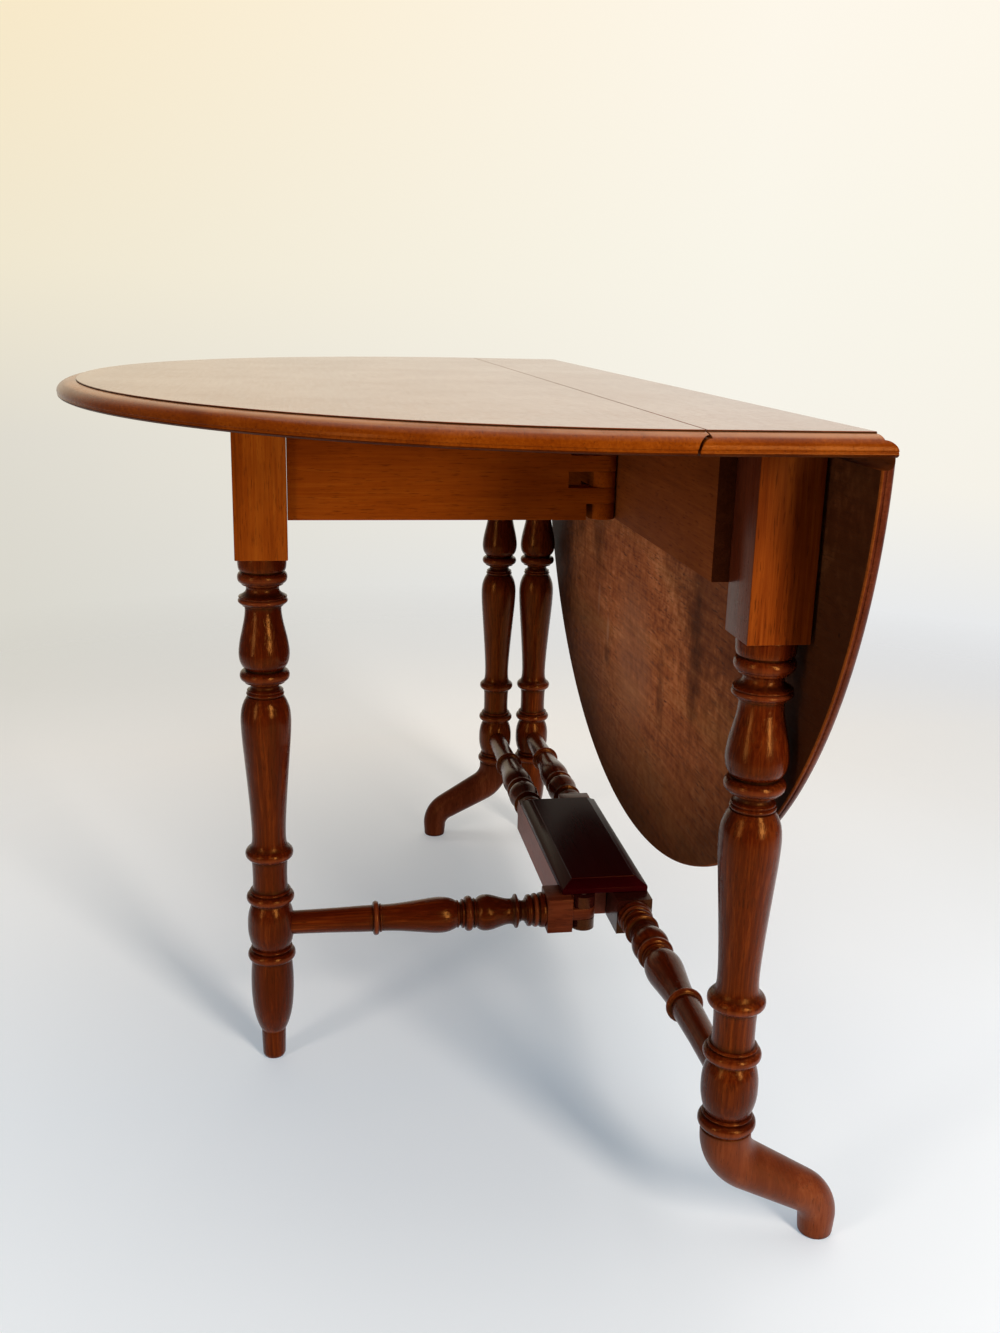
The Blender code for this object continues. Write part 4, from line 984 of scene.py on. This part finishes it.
# the hanging leaf's moulded edge is painted darker as shade, and the wood below its bead lighter as a painted
# highlight along the bead
hangingLooks = [("top", "y"), ("joint", "y"), ("quirk", "y"), "hangingUnderside"] + [("core", "y")] * 2
leaf = leafMesh()
addPiece("centre_top", centreTopMesh(), "fixed_frame", topLooks)
addPiece("right_leaf", leaf, "right_drop_leaf", hangingLooks, leafHanging)
addPiece("left_leaf", leaf, "left_drop_leaf", topLooks, turnAround)
print("top and leaves made")


def slottedHead():
    # countersunk head seen from below, its slot sawn across it
    bm = bmesh.new()
    head, half = hingeSettings["screwHead"], hingeSettings["slot"] / 2
    ends = [(0, 0, z) for z in hingeSettings["headHeights"]]
    rodAlong(bm, head, *ends, hingeSettings["headSides"], hingeSettings["ease"])
    low, high = hingeSettings["slotHeights"]
    return carve(bm, block((-half, -head, low), (half, head, high)))


def hingeMesh(side, length, knuckles, screws, name):
    wide, half, pin = table["halfWidth"], hingeSettings["half"], table["pinHeight"]
    clear, third = hingeSettings["barrel"] + table["gap"], 2 * hingeSettings["half"] / 3
    roof, hair, near = underside + hingeSettings["plate"], table["gap"] / 2, table["near"]
    ends = sorted((wide + side * clear, wide + side * length))
    parts = [block((ends[0], -half, underside), (ends[1], half, roof), hingeSettings["ease"])]
    tab = sorted((wide, wide + side * 2 * clear))
    for k in knuckles:
        low, high = -half + k * third + hair, -half + (k + 1) * third - hair
        parts.append(block((tab[0], low, underside + near), (tab[1], high, roof - near)))
        barrel = bmesh.new()
        rodAlong(barrel, hingeSettings["barrel"], (wide, low, pin), (wide, high, pin),
                 ease=hingeSettings["barrelEase"])
        parts.append(barrel)
    first, more = hingeSettings["slotTurn"]
    for k, (out, y) in enumerate(screws):
        head = slottedHead()
        there = Matrix.Translation((wide + side * out, y, underside))
        aim = Matrix.Rotation(first + more * k, 4, "Z")
        bmesh.ops.transform(head, matrix=there @ aim, verts=head.verts)
        parts.append(head)
    return finishMesh(gather(parts), name)


topPlate = hingeMesh(-1, hingeSettings["topPlate"], (0, 2), hingeSettings["topScrews"], "hinge_top_plate")
leafPlate = hingeMesh(1, hingeSettings["leafPlate"], (1,), hingeSettings["leafScrews"], "hinge_leaf_plate")
for number, y in enumerate(hingePlaces, 1):
    there = Matrix.Translation((0, y, 0))
    for side, turn, swing in (("right", Matrix.Identity(4), leafHanging), ("left", turnAround, turnAround)):
        addPiece(f"{side}_hinge_top_plate_{number}", topPlate, "fixed_frame", ["brass"],
                 turn @ there)
        addPiece(f"{side}_hinge_leaf_plate_{number}", leafPlate, side + "_drop_leaf", ["brass"],
                 swing @ there)
print("hinges made")


pinSettings = {
    "radius": 4.0, "proud": 0.00025, "sides": 32,
    "easedEnd": ((0.0, 0.5), (0.15, 0.15), (0.4, 0.0)),         # distance in and what the radius lacks, mm
}


def pinMesh(low, high, name):
    reach = 1000 * (high - low + 2 * pinSettings["proud"])
    points = [(0, 0)] + [(place, pinSettings["radius"] - less) for place, less in pinSettings["easedEnd"]]
    points += [(reach - place, radius) for place, radius in reversed(points)]
    bm = lathe(points, pinSettings["sides"])
    bmesh.ops.translate(bm, vec=(table["gateX"], table["gateY"], high + pinSettings["proud"]), verts=bm.verts)
    return finishMesh(bm, name)


for kind, low, high in (("knuckle_pin", table["railBottom"], table["frameTop"]),
                        ("stretcher_pin", barLow, barHigh)):
    addFixedPair(("right_" + kind, "left_" + kind), pinMesh(low, high, kind), ["iron"])

for name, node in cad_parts.items():       # CAD pieces that stay as they are
    if "screw" in name or "hinge_pin" in name:
        node.data.materials.clear()
        node.data.materials.append(finishes["iron" if "screw" in name else "brass"])
print("pins made")


# Studio: pale floor that fades into a bright backdrop, soft light, the photograph's camera
studio = {
    "floor": (0.78, 0.77, 0.77), "glow": 0.27, "fade": (0.95, 2.3),
    # the floor's glow: bluish near the table as painted shade, warm and bright far off as painted light from
    # behind
    "near": (0.46, 0.74, 1.0), "far": (1.0, 0.98, 0.90),
    "leftWall": ((0.30, (0.76, 0.77, 0.76)), (0.36, (0.68, 0.67, 0.61)), (0.45, (0.74, 0.71, 0.63)),
                 (0.51, (0.87, 0.80, 0.63)), (0.60, (0.94, 0.81, 0.57)), (0.80, (0.75, 0.68, 0.55))),
    "rightWall": ((0.30, (0.87, 0.88, 0.85)), (0.37, (0.76, 0.79, 0.84)), (0.44, (0.92, 0.89, 0.81)),
                  (0.52, (0.95, 0.92, 0.82)), (0.62, (1.0, 0.94, 0.83)), (0.80, (0.75, 0.70, 0.62))),
    "room": (0.12, 0.11, 0.10), "side": (-0.2, 0.34), "wall": (0.21, 0.98, 0.0), "spread": (0.5, 0.85),
    "skyStrength": 1.0, "radius": 8.0, "sides": 96, "clouds": 1.7, "dim": 0.97, "depth": (-0.2, 0.9),
    # name, place, target, width, height, power, tone
    "lights": (("key", (0.9, -2.4, 1.25), (-0.05, -0.1, 0.5), 0.5, 1.8, 64.0, (1.0, 0.93, 0.84)),
               ("ceiling", (0.0, 0.2, 2.7), (0.0, 0.0, 0.0), 2.6, 2.6, 36.0, (1.0, 0.98, 0.95)),
               ("window", (-2.0, -1.5, 0.95), (0.0, 0.0, 0.45), 0.4, 1.6, 16.0, (1.0, 0.93, 0.84))),
}


def makeStudio():
    bm = bmesh.new()
    bmesh.ops.create_circle(bm, cap_ends=True, radius=studio["radius"], segments=studio["sides"])
    mesh = bpy.data.meshes.new("floor")
    bm.to_mesh(mesh)
    bm.free()
    floor = newObject("floor", mesh)
    made, spot, shader = startFinish("pale_floor")
    cloud = spot.noise(even(studio["clouds"]), 3.0, 0.6)
    base = cloud.tint(colour(studio["floor"], studio["dim"]), colour(studio["floor"]))
    # painted light: the floor glows bluish near the table as shade and warmer towards the back as light from
    # behind
    glow = spot.part("y").clipped(*studio["depth"]).tint(colour(studio["near"]), colour(studio["far"]))
    endFinish(made, shader, {"Base Color": base, "Emission Color": glow},
              {"Roughness": 0.75, "Specular IOR Level": 0.2, "Emission Strength": studio["glow"]})
    away = spot.vector("LENGTH").clipped(*studio["fade"])
    clear = spot.node("ShaderNodeBsdfTransparent")
    solid = Strand(made.node_tree, shader.outputs[0])
    faded = spot.node("ShaderNodeMixShader", {}, {0: away, 1: solid, 2: clear})
    made.node_tree.links.new(faded.socket, made.node_tree.nodes["Material Output"].inputs["Surface"])
    mesh.materials.append(made)

    world = bpy.data.worlds.new("studio")
    world.use_nodes = True
    bpy.context.scene.world = world
    tree = world.node_tree
    way = Strand(tree, tree.nodes.new("ShaderNodeTexCoord").outputs["Generated"])
    height = way.part("z") * 0.5 + 0.5
    walls = (height.ramp(studio[key]) for key in ("leftWall", "rightWall"))
    backdrop = way.part("x").clipped(*studio["side"]).tint(*walls)
    behind = way.vector("DOT_PRODUCT", studio["wall"]).clipped(*studio["spread"])
    sky = behind.tint(colour(studio["room"]), backdrop)
    tree.links.new(sky.socket, tree.nodes["Background"].inputs["Color"])
    tree.nodes["Background"].inputs["Strength"].default_value = studio["skyStrength"]

    for name, place, target, width, height, power, tone in studio["lights"]:
        lamp = bpy.data.lights.new(name, "AREA")
        lamp.shape, lamp.size, lamp.size_y = "RECTANGLE", width, height
        lamp.energy, lamp.color = power, tone
        aim = (Vector(target) - Vector(place)).to_track_quat("-Z", "Y")
        newObject(name, lamp).matrix_world = Matrix.Translation(place) @ aim.to_matrix().to_4x4()
    bpy.context.scene.view_settings.view_transform = "Standard"


cameraSettings = {
    "place": (-0.3348, -1.3781, 0.7959), "yaw": 9.59, "pitch": 15.76, "roll": 1.49,
    "lens": 34.56, "sensor": 36.0,
}


def makeCamera():
    # yaw from +Y towards +X, pitch below the horizon
    yaw, pitch, roll = (math.radians(cameraSettings[key]) for key in ("yaw", "pitch", "roll"))
    ahead = Vector((math.sin(yaw) * math.cos(pitch), math.cos(yaw) * math.cos(pitch), -math.sin(pitch)))
    right = Vector((math.cos(yaw), -math.sin(yaw), 0))
    up = right.cross(ahead)
    across = right * math.cos(roll) + up * math.sin(roll)
    upright = up * math.cos(roll) - right * math.sin(roll)
    lens = bpy.data.cameras.new("camera")
    lens.lens, lens.sensor_width, lens.sensor_fit = cameraSettings["lens"], cameraSettings["sensor"], "AUTO"
    eye = newObject("camera", lens)
    turn = Matrix((across, upright, -ahead)).transposed().to_4x4()
    eye.matrix_world = Matrix.Translation(cameraSettings["place"]) @ turn
    bpy.context.scene.camera = eye


makeStudio()
makeCamera()
print("studio and camera made")
